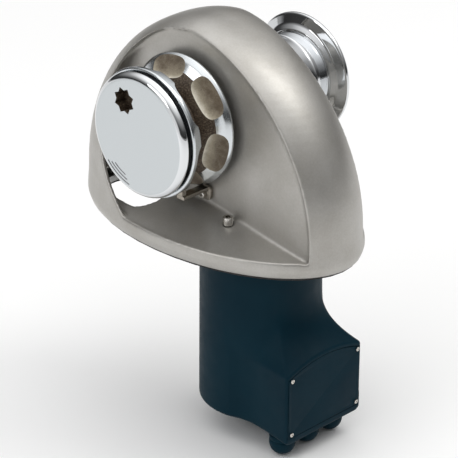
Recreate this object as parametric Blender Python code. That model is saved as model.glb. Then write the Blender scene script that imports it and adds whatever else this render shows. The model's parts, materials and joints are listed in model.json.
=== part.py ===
"""Anchor windlass: horizontal chain gypsy and warping drum over a worm gearbox, motor below the deck.

Lengths are in millimetres and become metres in new_object(). The origin is the centre of the elliptical
base on the deck plane. +X points to the bow, -Y to the chain side, +Y to the rope side and +Z up.
"""

import math

import bmesh
import bpy
from mathutils import Matrix, Vector

MM = 0.001
GAP = 0.3

# Driving dimensions of the cover and the base
BASE_HALF_LENGTH = 147.0
BASE_HALF_WIDTH = 87.0
BELLY = 3.0
BELLY_Z = 10.0
DOME_TOP = 196.5
DOME_SPRING = 30.0
DOME_LEAN = 10.0
DOME_FULLNESS = 1.7
RIDGE_FULLNESS = 2.8
SHELL = 4.0
CROWN_HALF_WIDTH = 35.0
WALL_Y = 33.0
LEDGE_TOP = 34.0
LEDGE_TOP_X = 13.0
LEDGE_FALL = 0.1525
RIM_HEIGHT = 18.0
DECK_GAP = 1.5
FRAME_THICKNESS = 6.0
COVER_SCREW_X = 46.5
COVER_SCREW_Y = 41.7
SCREW_SEAT_Z = 26.0
COUNTERBORE_RADIUS = 6.5
# The pocket's lip round the aft side of the gypsy: (degrees about the shaft, radius)
LIP_CURVE = ((108.0, 80.0), (140.0, 80.6), (177.0, 86.0), (205.0, 87.0), (220.0, 89.0), (252.0, 97.5))

# Driving dimensions of the gearbox and its shaft
SHAFT_X = -8.0
SHAFT_Z = 110.0
SHAFT_RADIUS = 14.0
SEAT_RADIUS = 12.0
THREAD_RADIUS = 10.0
MOTOR_X = 47.4
MOTOR_SHAFT_RADIUS = 8.0
GEAR_MODULE = 2.5
WHEEL_TEETH = 34
WHEEL_HALF_WIDTH = 8.0
TOOTH_BACKLASH = 0.22
PRESSURE_ANGLE = 20.0
WORM_THREAD_TURNS = 5
WORM_STEPS = 12
WORM_BORE = 17.0
WORM_TOP = 144.5
CASE_RADIUS = 55.0
CASE_SPLIT = 20.0
CASE_FRONT = 24.0
NOSE_RADIUS = 25.0
NOSE_END = 35.7
BEARING_RADIUS = 22.0
BEARING_BACK = 22.0
BEARING_FRONT = 32.5
SIDE_SCREW_RADIUS = 51.0
SIDE_SCREW_ANGLES = (88.0, 150.0, 212.0)
LOW_SIDE_SCREW = (66.0, 60.0)
KEY_FLOOR = 9.0
# Each key in the main shaft: first s, last s, half width, top radius
KEYS = {
    "wheel_key": (-6.0, 6.0, 3.5, 17.0),
    "inner_cone_key": (38.0, 51.0, 2.5, 14.5),
    "outer_cone_key": (74.8, 79.6, 2.5, 14.5),
    "drum_key": (-92.0, -52.0, 2.5, 14.5),
}

# Driving dimensions of the gypsy, its clutch, the stripper and the warping drum
CHAIN_PITCH = 24.0
CHAIN_POCKETS = 6
GYPSY_PHASE = 42.0
POCKET_HALF_LENGTH = 25.0
POCKET_HALF_WIDTH = 19.0
GROOVE_S = 64.0
GYPSY_BACK_S = 40.0
GYPSY_RADIUS = 60.4
FLANGE_S = 87.6
CONE_SLOPE = 0.62
CONE_SMALL_RADIUS = 34.0
STEP_S = 83.0
STEP_RADIUS = 52.0
LIP_S = 91.0
LIP_END = 92.3
LIP_RADIUS = 56.0
PLUG_RADIUS = 47.6
PLUG_BACK = 85.6
CAP_BACK = 92.8
CAP_FRONT = 98.4
CAP_RADIUS = 57.0
CAP_ROUND = 7.0
THREAD_START = 80.5
THREAD_END = 95.4
HANDLE_SQUARE = 17.5
SOCKET_OFFSET = 33.0
SOCKET_ANGLE = 118.5
STAR_TURN = 24.0
STRIPPER_X = 10.5
STRIPPER_Z = 42.0
STRIPPER_THICKNESS = 3.0
DRUM_SEAT_END = 105.0
DRUM_RADIUS = 56.3

# Driving dimensions of the motor and its housing
TUBE_RADIUS = 55.0
COUPLING_MIDDLE = -18.0
CAN_TOP = -34.0
CAN_BOTTOM = -142.0
CAN_RADIUS = 46.0
CAN_WALL = 4.0
PLASTIC_WALL = 3.4
SHOULDER_TOP = -44.0
BOX_FRONT = 127.0
BOX_HALF_WIDTH = 48.5
BOX_TOP = -95.0
BOX_ARCH = 9.0
BOX_BOTTOM = -163.5
TUBE_BOTTOM = -158.5
LID_BACK = 123.6
LID_HALF_WIDTH = 46.0
LID_BOTTOM = -156.0
LID_TOP = -97.5
LID_SCREW_INSET = 3.6
TERMINAL_FRONT = 105.0
GLAND_X = 106.0
GLAND_YS = (-31.0, 0.0, 31.0)

# Worked out from the driving dimensions
SHELF_Z = DECK_GAP + FRAME_THICKNESS
SPRING_HALF_LENGTH = BASE_HALF_LENGTH + BELLY / 2
SPRING_HALF_WIDTH = BASE_HALF_WIDTH + BELLY / 2
FRAME_INSET = SHELL + GAP + 0.5
WHEEL_PITCH_RADIUS = GEAR_MODULE * WHEEL_TEETH / 2
WHEEL_TIP_RADIUS = WHEEL_PITCH_RADIUS + GEAR_MODULE
WORM_PITCH_RADIUS = MOTOR_X - SHAFT_X - WHEEL_PITCH_RADIUS
WORM_TIP_RADIUS = WORM_PITCH_RADIUS + GEAR_MODULE
WORM_ROOT_RADIUS = WORM_PITCH_RADIUS - 1.25 * GEAR_MODULE
WORM_LEAD = math.pi * GEAR_MODULE
WORM_THREAD_LOW = SHAFT_Z - WORM_LEAD * WORM_THREAD_TURNS / 2
WORM_THREAD_HIGH = SHAFT_Z + WORM_LEAD * WORM_THREAD_TURNS / 2
PITCH_RADIUS = CHAIN_PITCH * 2 * CHAIN_POCKETS / (2 * math.pi)
GROOVE_RADIUS = PITCH_RADIUS - 12.0
HOUSING_TOP = DECK_GAP - GAP
STUD_PLACES = [(x, y) for x in (-14.0, 112.0) for y in (-36.0, 36.0)]
CASE_BOLT_PLACES = [(x, y) for x in (-28.0, 80.0) for y in (-14.0, 14.0)]

# Local Z of a piece on the main shaft points out of the chain side; s is the distance along it.
ALONG_SHAFT = Matrix.Rotation(math.radians(90), 4, "X")
ALONG_BOW = Matrix.Rotation(math.radians(90), 4, "Y")
UPRIGHT = Matrix.Identity(4)
SHAFT_AXIS = (SHAFT_X, 0.0, SHAFT_Z)
MOTOR_AXIS = (MOTOR_X, 0.0, 0.0)

FINISHES = {
    "satin_silver": ((0.42, 0.41, 0.385), 0.45, 0.6),
    "chrome": ((0.75, 0.76, 0.77), 0.08, 1.0),
    "cast_alloy": ((0.46, 0.46, 0.45), 0.55, 0.8),
    "stainless": ((0.55, 0.54, 0.51), 0.3, 1.0),
    "steel": ((0.33, 0.33, 0.34), 0.35, 1.0),
    "bronze": ((0.55, 0.33, 0.12), 0.35, 1.0),
    "dark_plastic": ((0.008, 0.018, 0.026), 0.5, 0.0),
    "black_rubber": ((0.01, 0.01, 0.01), 0.8, 0.0),
    "copper": ((0.6, 0.24, 0.12), 0.4, 1.0),
}


def clear_scene():
    for obj in list(bpy.data.objects):
        bpy.data.objects.remove(obj)


def finish_material(name):
    """The Principled material of this finish, made once."""
    if name in bpy.data.materials:
        return bpy.data.materials[name]
    colour, roughness, metallic = FINISHES[name]
    material = bpy.data.materials.new(name)
    material.use_nodes = True
    shader = material.node_tree.nodes["Principled BSDF"]
    shader.inputs["Base Color"].default_value = (*colour, 1.0)
    shader.inputs["Roughness"].default_value = roughness
    shader.inputs["Metallic"].default_value = metallic
    return material


# Building blocks


def new_object(name, points, faces, at=(0.0, 0.0, 0.0), turn=UPRIGHT):
    """A closed mesh from points in millimetres, with its faces pointing out."""
    bm = bmesh.new()
    verts = [bm.verts.new(Vector(point) * MM) for point in points]
    for face in faces:
        bm.faces.new([verts[index] for index in face])
    bmesh.ops.remove_doubles(bm, verts=bm.verts, dist=1e-6)
    bmesh.ops.recalc_face_normals(bm, faces=bm.faces)
    mesh = bpy.data.meshes.new(name)
    bm.to_mesh(mesh)
    bm.free()
    obj = bpy.data.objects.new(name, mesh)
    obj.matrix_world = Matrix.Translation(Vector(at) * MM) @ turn
    bpy.context.scene.collection.objects.link(obj)
    return obj


def turned(name, profile, segments=32, at=(0.0, 0.0, 0.0), turn=UPRIGHT):
    """A lathe shape about local Z from (height, radius) pairs; without a bore it starts and ends at radius 0."""
    points = []
    rings = []
    for height, radius in profile:
        if radius == 0:
            rings.append([len(points)] * segments)
            points.append((0.0, 0.0, height))
            continue
        rings.append(list(range(len(points), len(points) + segments)))
        for step in range(segments):
            angle = 2 * math.pi * step / segments
            points.append((radius * math.cos(angle), radius * math.sin(angle), height))
    has_bore = profile[0][1] > 0
    faces = []
    for index in range(len(rings) if has_bore else len(rings) - 1):
        low = rings[index]
        high = rings[(index + 1) % len(rings)]
        for step in range(segments):
            after = (step + 1) % segments
            corners = (low[step], low[after], high[after], high[step])
            face = list(dict.fromkeys(corners))
            if len(face) > 2:
                faces.append(face)
    return new_object(name, points, faces, at, turn)


def stacked(name, sections, at=(0.0, 0.0, 0.0), turn=UPRIGHT):
    """A closed loft through sections of equal point count, each a list of (x, y, z)."""
    count = len(sections[0])
    points = [point for section in sections for point in section]
    faces = [list(range(count)), list(range(len(points) - count, len(points)))]
    for level in range(len(sections) - 1):
        for step in range(count):
            after = (step + 1) % count
            low = level * count
            faces.append([low + step, low + after, low + count + after, low + count + step])
    return new_object(name, points, faces, at, turn)


def plate(name, outline, low, high, at=(0.0, 0.0, 0.0), turn=UPRIGHT):
    """An outline in local X and Y, extruded from low to high along local Z."""
    sections = [[(x, y, height) for x, y in outline] for height in (low, high)]
    return stacked(name, sections, at, turn)


def block(name, low, high):
    """A box between two corners in world axes."""
    outline = [(low[0], low[1]), (high[0], low[1]), (high[0], high[1]), (low[0], high[1])]
    return plate(name, outline, low[2], high[2])


def combine(target, tool, operation):
    """Applies one exact Boolean to the target and removes the tool."""
    modifier = target.modifiers.new(operation.lower(), "BOOLEAN")
    modifier.operation = operation
    modifier.solver = "EXACT"
    modifier.object = tool
    bpy.context.view_layer.update()
    graph = bpy.context.evaluated_depsgraph_get()
    mesh = bpy.data.meshes.new_from_object(target.evaluated_get(graph))
    target.modifiers.clear()
    target.data = mesh
    bpy.data.objects.remove(tool)
    return target


def cut(target, *tools):
    for tool in tools:
        combine(target, tool, "DIFFERENCE")
    return target


def join(target, *tools):
    for tool in tools:
        combine(target, tool, "UNION")
    return target


def common(target, tool):
    return combine(target, tool, "INTERSECT")


def finished(obj, finish, sharp_angle=32.0):
    """Gives the piece its material and shades its round stretches smooth."""
    obj.data.materials.clear()
    obj.data.materials.append(finish_material(finish))
    obj.data.shade_smooth()
    obj.data.set_sharp_from_angle(angle=math.radians(sharp_angle))
    return obj


def ellipse(half_length, half_width, segments):
    angles = [2 * math.pi * step / segments for step in range(segments)]
    return [(half_length * math.cos(angle), half_width * math.sin(angle)) for angle in angles]


def polar(centre, radius, degrees):
    angle = math.radians(degrees)
    return centre[0] + radius * math.cos(angle), centre[1] + radius * math.sin(angle)


def arc(centre, radius, first, last, steps):
    return [polar(centre, radius, first + (last - first) * step / steps) for step in range(steps + 1)]


def rounded(corners, radius, steps=3):
    """The outline with each corner replaced by a quadratic curve that starts `radius` before it."""
    outline = []
    for index, corner in enumerate(corners):
        here = Vector(corner)
        before = Vector(corners[index - 1])
        after = Vector(corners[(index + 1) % len(corners)])
        start = here + (before - here).normalized() * min(radius, (before - here).length * 0.45)
        end = here + (after - here).normalized() * min(radius, (after - here).length * 0.45)
        for step in range(steps + 1):
            t = step / steps
            outline.append(tuple(start * (1 - t) ** 2 + here * 2 * t * (1 - t) + end * t * t))
    return outline


def drill(at, radius, low, high, turn=UPRIGHT, segments=20):
    """A round cutter along local Z."""
    return plate("drill", ellipse(radius, radius, segments), low, high, at, turn)


# The cover: a domed shell with a scooped pocket on each side


def crown_height(y, inset=0.0):
    """Height of the dome's ridge at this distance from its middle plane."""
    rise = DOME_TOP - inset - DOME_SPRING
    share = min(abs(y) / (SPRING_HALF_WIDTH - inset), 1.0)
    return DOME_SPRING + rise * math.sqrt(1 - share**RIDGE_FULLNESS)


def half_length_at(y, inset=0.0):
    share = min(abs(y) / (SPRING_HALF_WIDTH - inset), 1.0)
    return (SPRING_HALF_LENGTH - inset) * math.sqrt(1 - share**2)


def dome_lean(z):
    """The ridge leans aft by this much at height z."""
    return -DOME_LEAN * (max(z, 0.0) / DOME_TOP) ** 2


def dome_reach(y, z, inset=0.0):
    """Distance from the leaning centre line to the dome's surface along X, or None outside it."""
    rise = crown_height(y, inset) - DOME_SPRING
    share = (z - DOME_SPRING) / rise if rise > 1e-6 else 2.0
    if share > 1:
        return None
    return half_length_at(y, inset) * (1 - max(share, 0.0) ** 2) ** (1 / DOME_FULLNESS)


def dome_radius(direction, inset):
    """How far the dome's surface lies from the spring plane's centre along a direction, by bisection."""
    inside, outside = 0.0, 2 * BASE_HALF_LENGTH
    for _ in range(40):
        middle = (inside + outside) / 2
        x, y, z = direction[0] * middle, direction[1] * middle, DOME_SPRING + direction[2] * middle
        reach = dome_reach(y, z, inset)
        if reach is not None and abs(x - dome_lean(z)) < reach:
            inside = middle
        else:
            outside = middle
    return inside


def dome(name, inset, bottom, around, upward):
    """The domed solid, `inset` inside the cover's outer skin."""
    flat = (SPRING_HALF_WIDTH - inset) / (SPRING_HALF_LENGTH - inset)
    sections = []
    for z, growth in ((bottom, 0.0), (BELLY_Z, BELLY)):
        plan = ellipse(BASE_HALF_LENGTH + growth - inset, BASE_HALF_WIDTH + growth - inset, around)
        sections.append([(x, y, z) for x, y in plan])
    for level in range(upward):
        latitude = math.radians(88.0) * level / (upward - 1)
        section = []
        for step in range(around):
            longitude = 2 * math.pi * step / around
            across = math.cos(latitude)
            y_share = across * math.sin(longitude) * flat
            direction = Vector((across * math.cos(longitude), y_share, math.sin(latitude)))
            point = direction * dome_radius(direction, inset)
            section.append((point.x, point.y, point.z + DOME_SPRING))
        sections.append(section)
    return stacked(name, sections)


def ledge_height(x, y):
    """The pocket's floor: it falls towards the bow along the wall, and outwards to the rim."""
    at_wall = LEDGE_TOP - LEDGE_FALL * max(x - LEDGE_TOP_X, 0.0)
    rim_y = BASE_HALF_WIDTH * math.sqrt(max(1 - (x / BASE_HALF_LENGTH) ** 2, 0.0))
    share = (abs(y) - WALL_Y) / max(rim_y - WALL_Y, 6.0)
    return at_wall + (RIM_HEIGHT - at_wall) * min(max(share, 0.0), 1.0)


def ledge_solid(name, side, wall_y, drop, far_z):
    """Everything above the ledge (far_z over it) or below it (far_z under it), outside the wall."""
    stations = (-170.0, -125.0, -90.0, -50.0, LEDGE_TOP_X, 50.0, 90.0, 110.0, 122.0, 131.0, 170.0)
    outer_y = BASE_HALF_WIDTH + 20.0
    sections = []
    for x in stations:
        rim_y = max(BASE_HALF_WIDTH * math.sqrt(max(1 - (x / BASE_HALF_LENGTH) ** 2, 0.0)), WALL_Y + 6.0)
        widths = (wall_y, (WALL_Y + rim_y) / 2, rim_y, outer_y)
        section = [(x, side * width, ledge_height(x, width) - drop) for width in widths]
        section += [(x, side * outer_y, far_z), (x, side * wall_y, far_z)]
        sections.append(section)
    return stacked(name, sections)


def lip_point(angle):
    """A point of the pocket's aft lip, between two stations of its curve."""
    for (first, low), (last, high) in zip(LIP_CURVE, LIP_CURVE[1:]):
        if angle <= last:
            radius = low + (high - low) * (angle - first) / (last - first)
            return polar((SHAFT_X, SHAFT_Z), radius, angle)
    return polar((SHAFT_X, SHAFT_Z), LIP_CURVE[-1][1], LIP_CURVE[-1][0])


def pocket_outline():
    """Side view of a pocket's mouth: the crown's arch at the bow and the curved lip round the gypsy aft."""
    foot = -5.0
    arch_steps = 18
    lip_steps = 8
    rise = crown_height(CROWN_HALF_WIDTH) - DOME_SPRING
    arch = []
    for step in range(arch_steps + 1):
        share = math.sin(math.radians(90.0) * step / arch_steps)
        z = DOME_SPRING + rise * share
        reach = half_length_at(CROWN_HALF_WIDTH) * (1 - share**2) ** (1 / DOME_FULLNESS)
        arch.append((dome_lean(z) + reach, z))
    first, last = LIP_CURVE[0][0], LIP_CURVE[-1][0]
    lip = [lip_point(first + (last - first) * step / lip_steps) for step in range(lip_steps + 1)]
    return [(arch[0][0], foot)] + arch + lip + [(lip[-1][0], foot)]


def chain_hole_outline():
    return rounded([(-30, -36), (-30, -56), (-42, -69), (-84, -64), (-112, -42), (-112, -36)], 9.0)


def make_cover():
    cover = dome("cover", 0.0, DECK_GAP, 52, 11)
    middle = common(
        dome("middle", SHELL, -10.0, 36, 8),
        block("keep", (-200, -(WALL_Y - SHELL), -20), (200, WALL_Y - SHELL, 250)),
    )
    cut(cover, middle)
    for side in (-1, 1):
        hollow = dome("hollow", SHELL, -10.0, 36, 8)
        cut(cover, common(hollow, ledge_solid("below", side, WALL_Y - SHELL - 2.0, SHELL, -30.0)))
        span = sorted((-side * (WALL_Y - 12.0), -side * 120.0))
        pocket = plate("mouth", pocket_outline(), span[0], span[1], turn=ALONG_SHAFT)
        join(pocket, dome("hollow", SHELL, -10.0, 36, 8))
        cut(cover, common(pocket, ledge_solid("above", side, WALL_Y, 0.0, 260.0)))
        screw_place = (COVER_SCREW_X, side * COVER_SCREW_Y, 0)
        cut(cover, drill(screw_place, 3.4, 5.0, 60.0, segments=8))
        cut(cover, drill(screw_place, COUNTERBORE_RADIUS, SCREW_SEAT_Z, 60.0, segments=16))
    cut(cover, drill(SHAFT_AXIS, NOSE_RADIUS + 1.0, -60.0, 60.0, ALONG_SHAFT))
    cut(cover, plate("chain_way", chain_hole_outline(), 8.0, 60.0))
    cut(cover, drill((STRIPPER_X, 0, STRIPPER_Z), 2.3, 26.0, 40.0, ALONG_SHAFT, 8))
    return finished(cover, "satin_silver")


# The base: gasket and frame inside the cover's rim

def chain_way(low, high):
    """The chain's way down through the base, wider than the hole in the ledge."""
    corners = [(-30, -4), (-30, -60), (-44, -70), (-84, -62), (-112, -46), (-127, -26), (-127, -4)]
    return plate("chain_way", rounded(corners, 8.0), low, high)


def make_deck_gasket():
    outline = ellipse(BASE_HALF_LENGTH - 2.0, BASE_HALF_WIDTH - 2.0, 40)
    gasket = plate("deck_gasket", outline, 0.0, DECK_GAP - GAP)
    cut(gasket, drill(MOTOR_AXIS, TUBE_RADIUS + 1.0, -5.0, 5.0, segments=32), chain_way(-5.0, 5.0))
    for x, y in STUD_PLACES:
        if math.hypot(x - MOTOR_X, y) > TUBE_RADIUS + 6.0:
            cut(gasket, drill((x, y, 0), 4.5, -5.0, 5.0, segments=8))
    return finished(gasket, "black_rubber")


def make_base_frame():
    outline = ellipse(BASE_HALF_LENGTH - FRAME_INSET, BASE_HALF_WIDTH - FRAME_INSET, 40)
    frame = plate("base_frame", outline, DECK_GAP, SHELF_Z)
    for side in (-1, 1):
        screw_place = (COVER_SCREW_X, side * COVER_SCREW_Y, 0)
        join(frame, drill(screw_place, 7.0, DECK_GAP + 1.0, 20.0, segments=12))
        cut(frame, drill(screw_place, 3.3, 8.0, 30.0, segments=8))
    cut(frame, drill(MOTOR_AXIS, 18.0, -5.0, 15.0), chain_way(-5.0, 15.0))
    for x, y in STUD_PLACES:
        cut(frame, drill((x, y, 0), 4.2, -5.0, 15.0, segments=8))
    for x, y in CASE_BOLT_PLACES:
        cut(frame, drill((x, y, 0), 3.3, -5.0, 15.0, segments=8))
        cut(frame, drill((x, y, 0), 6.0, -5.0, 5.0, segments=8))
    return finished(frame, "cast_alloy")


def screw(name, at, turn, head_radius, head_height, shank_radius, shank_length):
    """A socket-head screw: local Z points out of its head, and its head sits on z = 0."""
    socket_radius = head_radius * 0.5
    profile = [
        (-shank_length, 0.0),
        (-shank_length, shank_radius),
        (0.0, shank_radius),
        (0.0, head_radius),
        (head_height, head_radius),
        (head_height, socket_radius),
        (head_height * 0.45, 0.0),
    ]
    return finished(turned(name, profile, 8, at, turn), "stainless")


def make_cover_screws():
    for name, side in (("cover_screw_chain_side", -1), ("cover_screw_rope_side", 1)):
        at = (COVER_SCREW_X, side * COVER_SCREW_Y, SCREW_SEAT_Z + GAP)
        screw(name, at, UPRIGHT, 4.7, 7.5, 3.0, SCREW_SEAT_Z - 9.0)


# The gearbox and what turns in it

def gearbox_outline():
    """Side view: a round case for the wheel joined to an upright case for the worm, on a foot."""
    foot = [(-42, SHELF_Z + GAP), (90, SHELF_Z + GAP), (90, 18), (74, 26)]
    worm_case = [(74, 134), (64, 148), (38, 152)]
    wheel_case = arc((SHAFT_X, SHAFT_Z), CASE_RADIUS, 66.0, 228.0, 14)
    return foot + worm_case + wheel_case + [(-42, 60)]


def side_screw_places():
    around = [polar((SHAFT_X, SHAFT_Z), SIDE_SCREW_RADIUS, angle) for angle in SIDE_SCREW_ANGLES]
    return around + [LOW_SIDE_SCREW]


def make_gearbox_housing():
    housing = plate("gearbox_housing", gearbox_outline(), -CASE_FRONT, CASE_SPLIT, turn=ALONG_SHAFT)
    join(housing, drill(SHAFT_AXIS, NOSE_RADIUS, -NOSE_END, -CASE_FRONT + 2.0, ALONG_SHAFT, 24))
    wheel_room = drill(SHAFT_AXIS, WHEEL_TIP_RADIUS + 2.0, -WHEEL_HALF_WIDTH - 2.0, 40.0, ALONG_SHAFT, 40)
    cut(housing, wheel_room, drill(MOTOR_AXIS, WORM_BORE + GAP, 0.0, WORM_TOP + 1.5, segments=28))
    cut(housing, drill(SHAFT_AXIS, BEARING_RADIUS + GAP, -40.0, -BEARING_BACK + GAP, ALONG_SHAFT, 24))
    cut(housing, drill(SHAFT_AXIS, SHAFT_RADIUS + 2.0, -40.0, 0.0, ALONG_SHAFT, 24))
    for x, y in CASE_BOLT_PLACES:
        cut(housing, drill((x, y, 0), 2.8, 0.0, 16.0, segments=8))
    for x, z in side_screw_places():
        cut(housing, drill((x, 0, z), 1.9, 6.0, 30.0, ALONG_SHAFT, 8))
    return finished(housing, "cast_alloy")


def make_gearbox_side_plate():
    side = plate("gearbox_side_plate", gearbox_outline(), CASE_SPLIT + GAP, CASE_FRONT, turn=ALONG_SHAFT)
    join(side, drill(SHAFT_AXIS, NOSE_RADIUS, CASE_FRONT - 2.0, NOSE_END, ALONG_SHAFT, 24))
    cut(side, drill(SHAFT_AXIS, BEARING_RADIUS + GAP, BEARING_BACK - GAP, 40.0, ALONG_SHAFT, 24))
    cut(side, drill(SHAFT_AXIS, SHAFT_RADIUS + 2.0, 0.0, 40.0, ALONG_SHAFT, 24))
    for x, z in side_screw_places():
        cut(side, drill((x, 0, z), 2.4, 6.0, 30.0, ALONG_SHAFT, 8))
    return finished(side, "cast_alloy")


def make_gearbox_screws():
    for number, (x, z) in enumerate(side_screw_places(), 1):
        at = (x, -CASE_FRONT - GAP, z)
        screw(f"gearbox_side_screw_{number}", at, ALONG_SHAFT, 3.4, 3.4, 1.6, 14.0)
    upside_down = Matrix.Rotation(math.radians(180), 4, "X")
    for number, (x, y) in enumerate(CASE_BOLT_PLACES, 1):
        screw(f"gearbox_foot_bolt_{number}", (x, y, 5.0 - GAP), upside_down, 4.8, 3.0, 2.5, 10.5)


def ring(name, inner, outer, span, at, turn, finish):
    """A bearing or a seal, as the plain ring that its shields show."""
    low, high = sorted(span)
    profile = [(low, inner), (high, inner), (high, outer), (low, outer)]
    return finished(turned(name, profile, 24, at, turn), finish)


def make_shaft_bearings():
    place = (SHAFT_AXIS, ALONG_SHAFT)
    for side, sign in (("chain_side", 1), ("rope_side", -1)):
        span = (sign * BEARING_BACK, sign * BEARING_FRONT)
        ring(f"shaft_bearing_{side}", SHAFT_RADIUS + GAP, BEARING_RADIUS, span, *place, "steel")
        span = (sign * (BEARING_FRONT + GAP), sign * NOSE_END)
        ring(f"shaft_seal_{side}", SEAT_RADIUS + GAP, BEARING_RADIUS, span, *place, "black_rubber")


def make_main_shaft():
    """The shaft with its thread end on the chain side; s runs from the drum to the clutch cap."""
    profile = [
        (-DRUM_SEAT_END, 0.0),
        (-DRUM_SEAT_END, SEAT_RADIUS),
        (-BEARING_FRONT, SEAT_RADIUS),
        (-BEARING_FRONT, SHAFT_RADIUS),
        (BEARING_FRONT, SHAFT_RADIUS),
        (BEARING_FRONT, SEAT_RADIUS),
        (THREAD_START, SEAT_RADIUS),
        (THREAD_START + 1.0, THREAD_RADIUS),
        (THREAD_END - 1.0, THREAD_RADIUS),
        (THREAD_END, THREAD_RADIUS - 1.0),
        (THREAD_END, 0.0),
    ]
    shaft = turned("main_shaft", profile, 28, SHAFT_AXIS, ALONG_SHAFT)
    cut(shaft, drill(SHAFT_AXIS, 4.6, -DRUM_SEAT_END - 5.0, -DRUM_SEAT_END + 26.0, ALONG_SHAFT, 8))
    for name in KEYS:
        cut(shaft, key_block(name, GAP, KEY_FLOOR - GAP))
    return finished(shaft, "stainless")


def key_block(name, clearance, floor):
    """A key, or with a clearance the slot that holds it, standing on top of the shaft."""
    first, last, half_width, top = KEYS[name]
    low = (SHAFT_X - half_width - clearance, -last - clearance, SHAFT_Z + floor)
    high = (SHAFT_X + half_width + clearance, -first + clearance, SHAFT_Z + top + clearance)
    return block(name, low, high)


def keyway(name):
    """A slot for this key that runs right through the piece round it."""
    first, last, half_width, top = KEYS[name]
    reach = 13.0
    low = (SHAFT_X - half_width - GAP, -last - reach, SHAFT_Z)
    high = (SHAFT_X + half_width + GAP, -first + reach, SHAFT_Z + top + GAP)
    return block("keyway", low, high)


def make_keys():
    for name in KEYS:
        finished(key_block(name, 0.0, KEY_FLOOR), "steel")


def gear_outline():
    """Straight-sided teeth with backlash, one tooth centred between the steps at angle zero."""
    root = WHEEL_PITCH_RADIUS - 1.25 * GEAR_MODULE
    pitch_angle = 2 * math.pi / WHEEL_TEETH
    half_tooth = pitch_angle / 4
    slope = math.tan(math.radians(PRESSURE_ANGLE))
    points = []
    for tooth in range(WHEEL_TEETH):
        middle = pitch_angle * (tooth + 0.5)
        for radius, side in ((root, -1), (WHEEL_TIP_RADIUS, -1), (WHEEL_TIP_RADIUS, 1), (root, 1)):
            rise = radius - WHEEL_PITCH_RADIUS
            half = half_tooth - (rise * slope + TOOTH_BACKLASH) / WHEEL_PITCH_RADIUS
            angle = middle + side * half
            points.append((radius * math.cos(angle), radius * math.sin(angle)))
    return points


def make_worm_wheel():
    outline = gear_outline()
    sections = []
    for s in (-WHEEL_HALF_WIDTH, WHEEL_HALF_WIDTH):
        twist = s * WORM_LEAD / (2 * math.pi * WORM_PITCH_RADIUS) / WHEEL_PITCH_RADIUS
        cos, sin = math.cos(twist), math.sin(twist)
        sections.append([(x * cos - y * sin, x * sin + y * cos, s) for x, y in outline])
    wheel = stacked("worm_wheel", sections, SHAFT_AXIS, ALONG_SHAFT)
    cut(wheel, drill(SHAFT_AXIS, SHAFT_RADIUS + GAP, -20.0, 20.0, ALONG_SHAFT, 24))
    cut(wheel, keyway("wheel_key"))
    return finished(wheel, "bronze")


def worm_thread():
    """A straight-sided thread wound round the worm's core, right-handed, in mesh with the wheel at rest."""
    root = WORM_ROOT_RADIUS - 0.4
    slope = math.tan(math.radians(PRESSURE_ANGLE))
    sections = []
    for step in range(WORM_STEPS * WORM_THREAD_TURNS + 1):
        turns = step / WORM_STEPS
        angle = 2 * math.pi * turns
        centre = WORM_THREAD_LOW + WORM_LEAD * turns
        section = []
        for radius, side in ((root, -1), (WORM_TIP_RADIUS, -1), (WORM_TIP_RADIUS, 1), (root, 1)):
            half = WORM_LEAD / 4 - (radius - WORM_PITCH_RADIUS) * slope - TOOTH_BACKLASH
            section.append((radius * math.cos(angle), radius * math.sin(angle), centre + side * half))
        sections.append(section)
    return stacked("thread", sections, MOTOR_AXIS)


def make_worm():
    profile = [
        (COUPLING_MIDDLE + GAP, 0.0),
        (COUPLING_MIDDLE + GAP, MOTOR_SHAFT_RADIUS),
        (WORM_THREAD_LOW - 6.0, MOTOR_SHAFT_RADIUS),
        (WORM_THREAD_LOW - 4.0, WORM_ROOT_RADIUS),
        (WORM_THREAD_HIGH + 4.0, WORM_ROOT_RADIUS),
        (WORM_THREAD_HIGH + 6.0, MOTOR_SHAFT_RADIUS),
        (WORM_TOP, MOTOR_SHAFT_RADIUS),
        (WORM_TOP, 0.0),
    ]
    worm = turned("worm", profile, WORM_STEPS, MOTOR_AXIS)
    join(worm, worm_thread())
    return finished(worm, "steel")


def make_worm_bearings():
    inner = MOTOR_SHAFT_RADIUS + GAP
    for name, low in (("worm_bearing_top", 136.7), ("worm_bearing_bottom", 70.0)):
        ring(name, inner, WORM_BORE, (low, low + 8.5), MOTOR_AXIS, UPRIGHT, "steel")
    ring("worm_seal", inner, WORM_BORE, (9.0, 15.0), MOTOR_AXIS, UPRIGHT, "black_rubber")


# The chain gypsy and its cone clutch

def make_gypsy():
    seat_radius = CONE_SMALL_RADIUS + 0.4
    bore = SEAT_RADIUS + 0.8
    profile = [
        (53.0, bore),
        (53.0, seat_radius),
        (GYPSY_BACK_S, seat_radius + 13.0 * CONE_SLOPE),
        (GYPSY_BACK_S, GYPSY_RADIUS - 1.4),
        (41.2, GYPSY_RADIUS),
        (43.0, GYPSY_RADIUS),
        (47.4, 57.0),
        (51.5, 49.5),
        (GROOVE_S - 4.4, GROOVE_RADIUS + 2.0),
        (GROOVE_S - 4.0, GROOVE_RADIUS),
        (GROOVE_S + 4.0, GROOVE_RADIUS),
        (GROOVE_S + 4.4, GROOVE_RADIUS + 2.0),
        (74.4, 49.5),
        (76.6, 55.0),
        (78.2, 58.4),
        (86.4, 59.0),
        (FLANGE_S, 57.8),
        (FLANGE_S, STEP_RADIUS + 0.5),
        (STEP_S - 0.4, STEP_RADIUS + 0.5),
        (STEP_S - 0.4, seat_radius + 8.8 * CONE_SLOPE),
        (STEP_S - 9.2, seat_radius),
        (STEP_S - 9.2, bore),
    ]
    gypsy = turned("gypsy", profile, 32, SHAFT_AXIS, ALONG_SHAFT)
    for pocket in range(CHAIN_POCKETS):
        cut(gypsy, link_pocket(math.radians(GYPSY_PHASE + 360.0 * pocket / CHAIN_POCKETS)))
    return finished(gypsy, "chrome")


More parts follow.
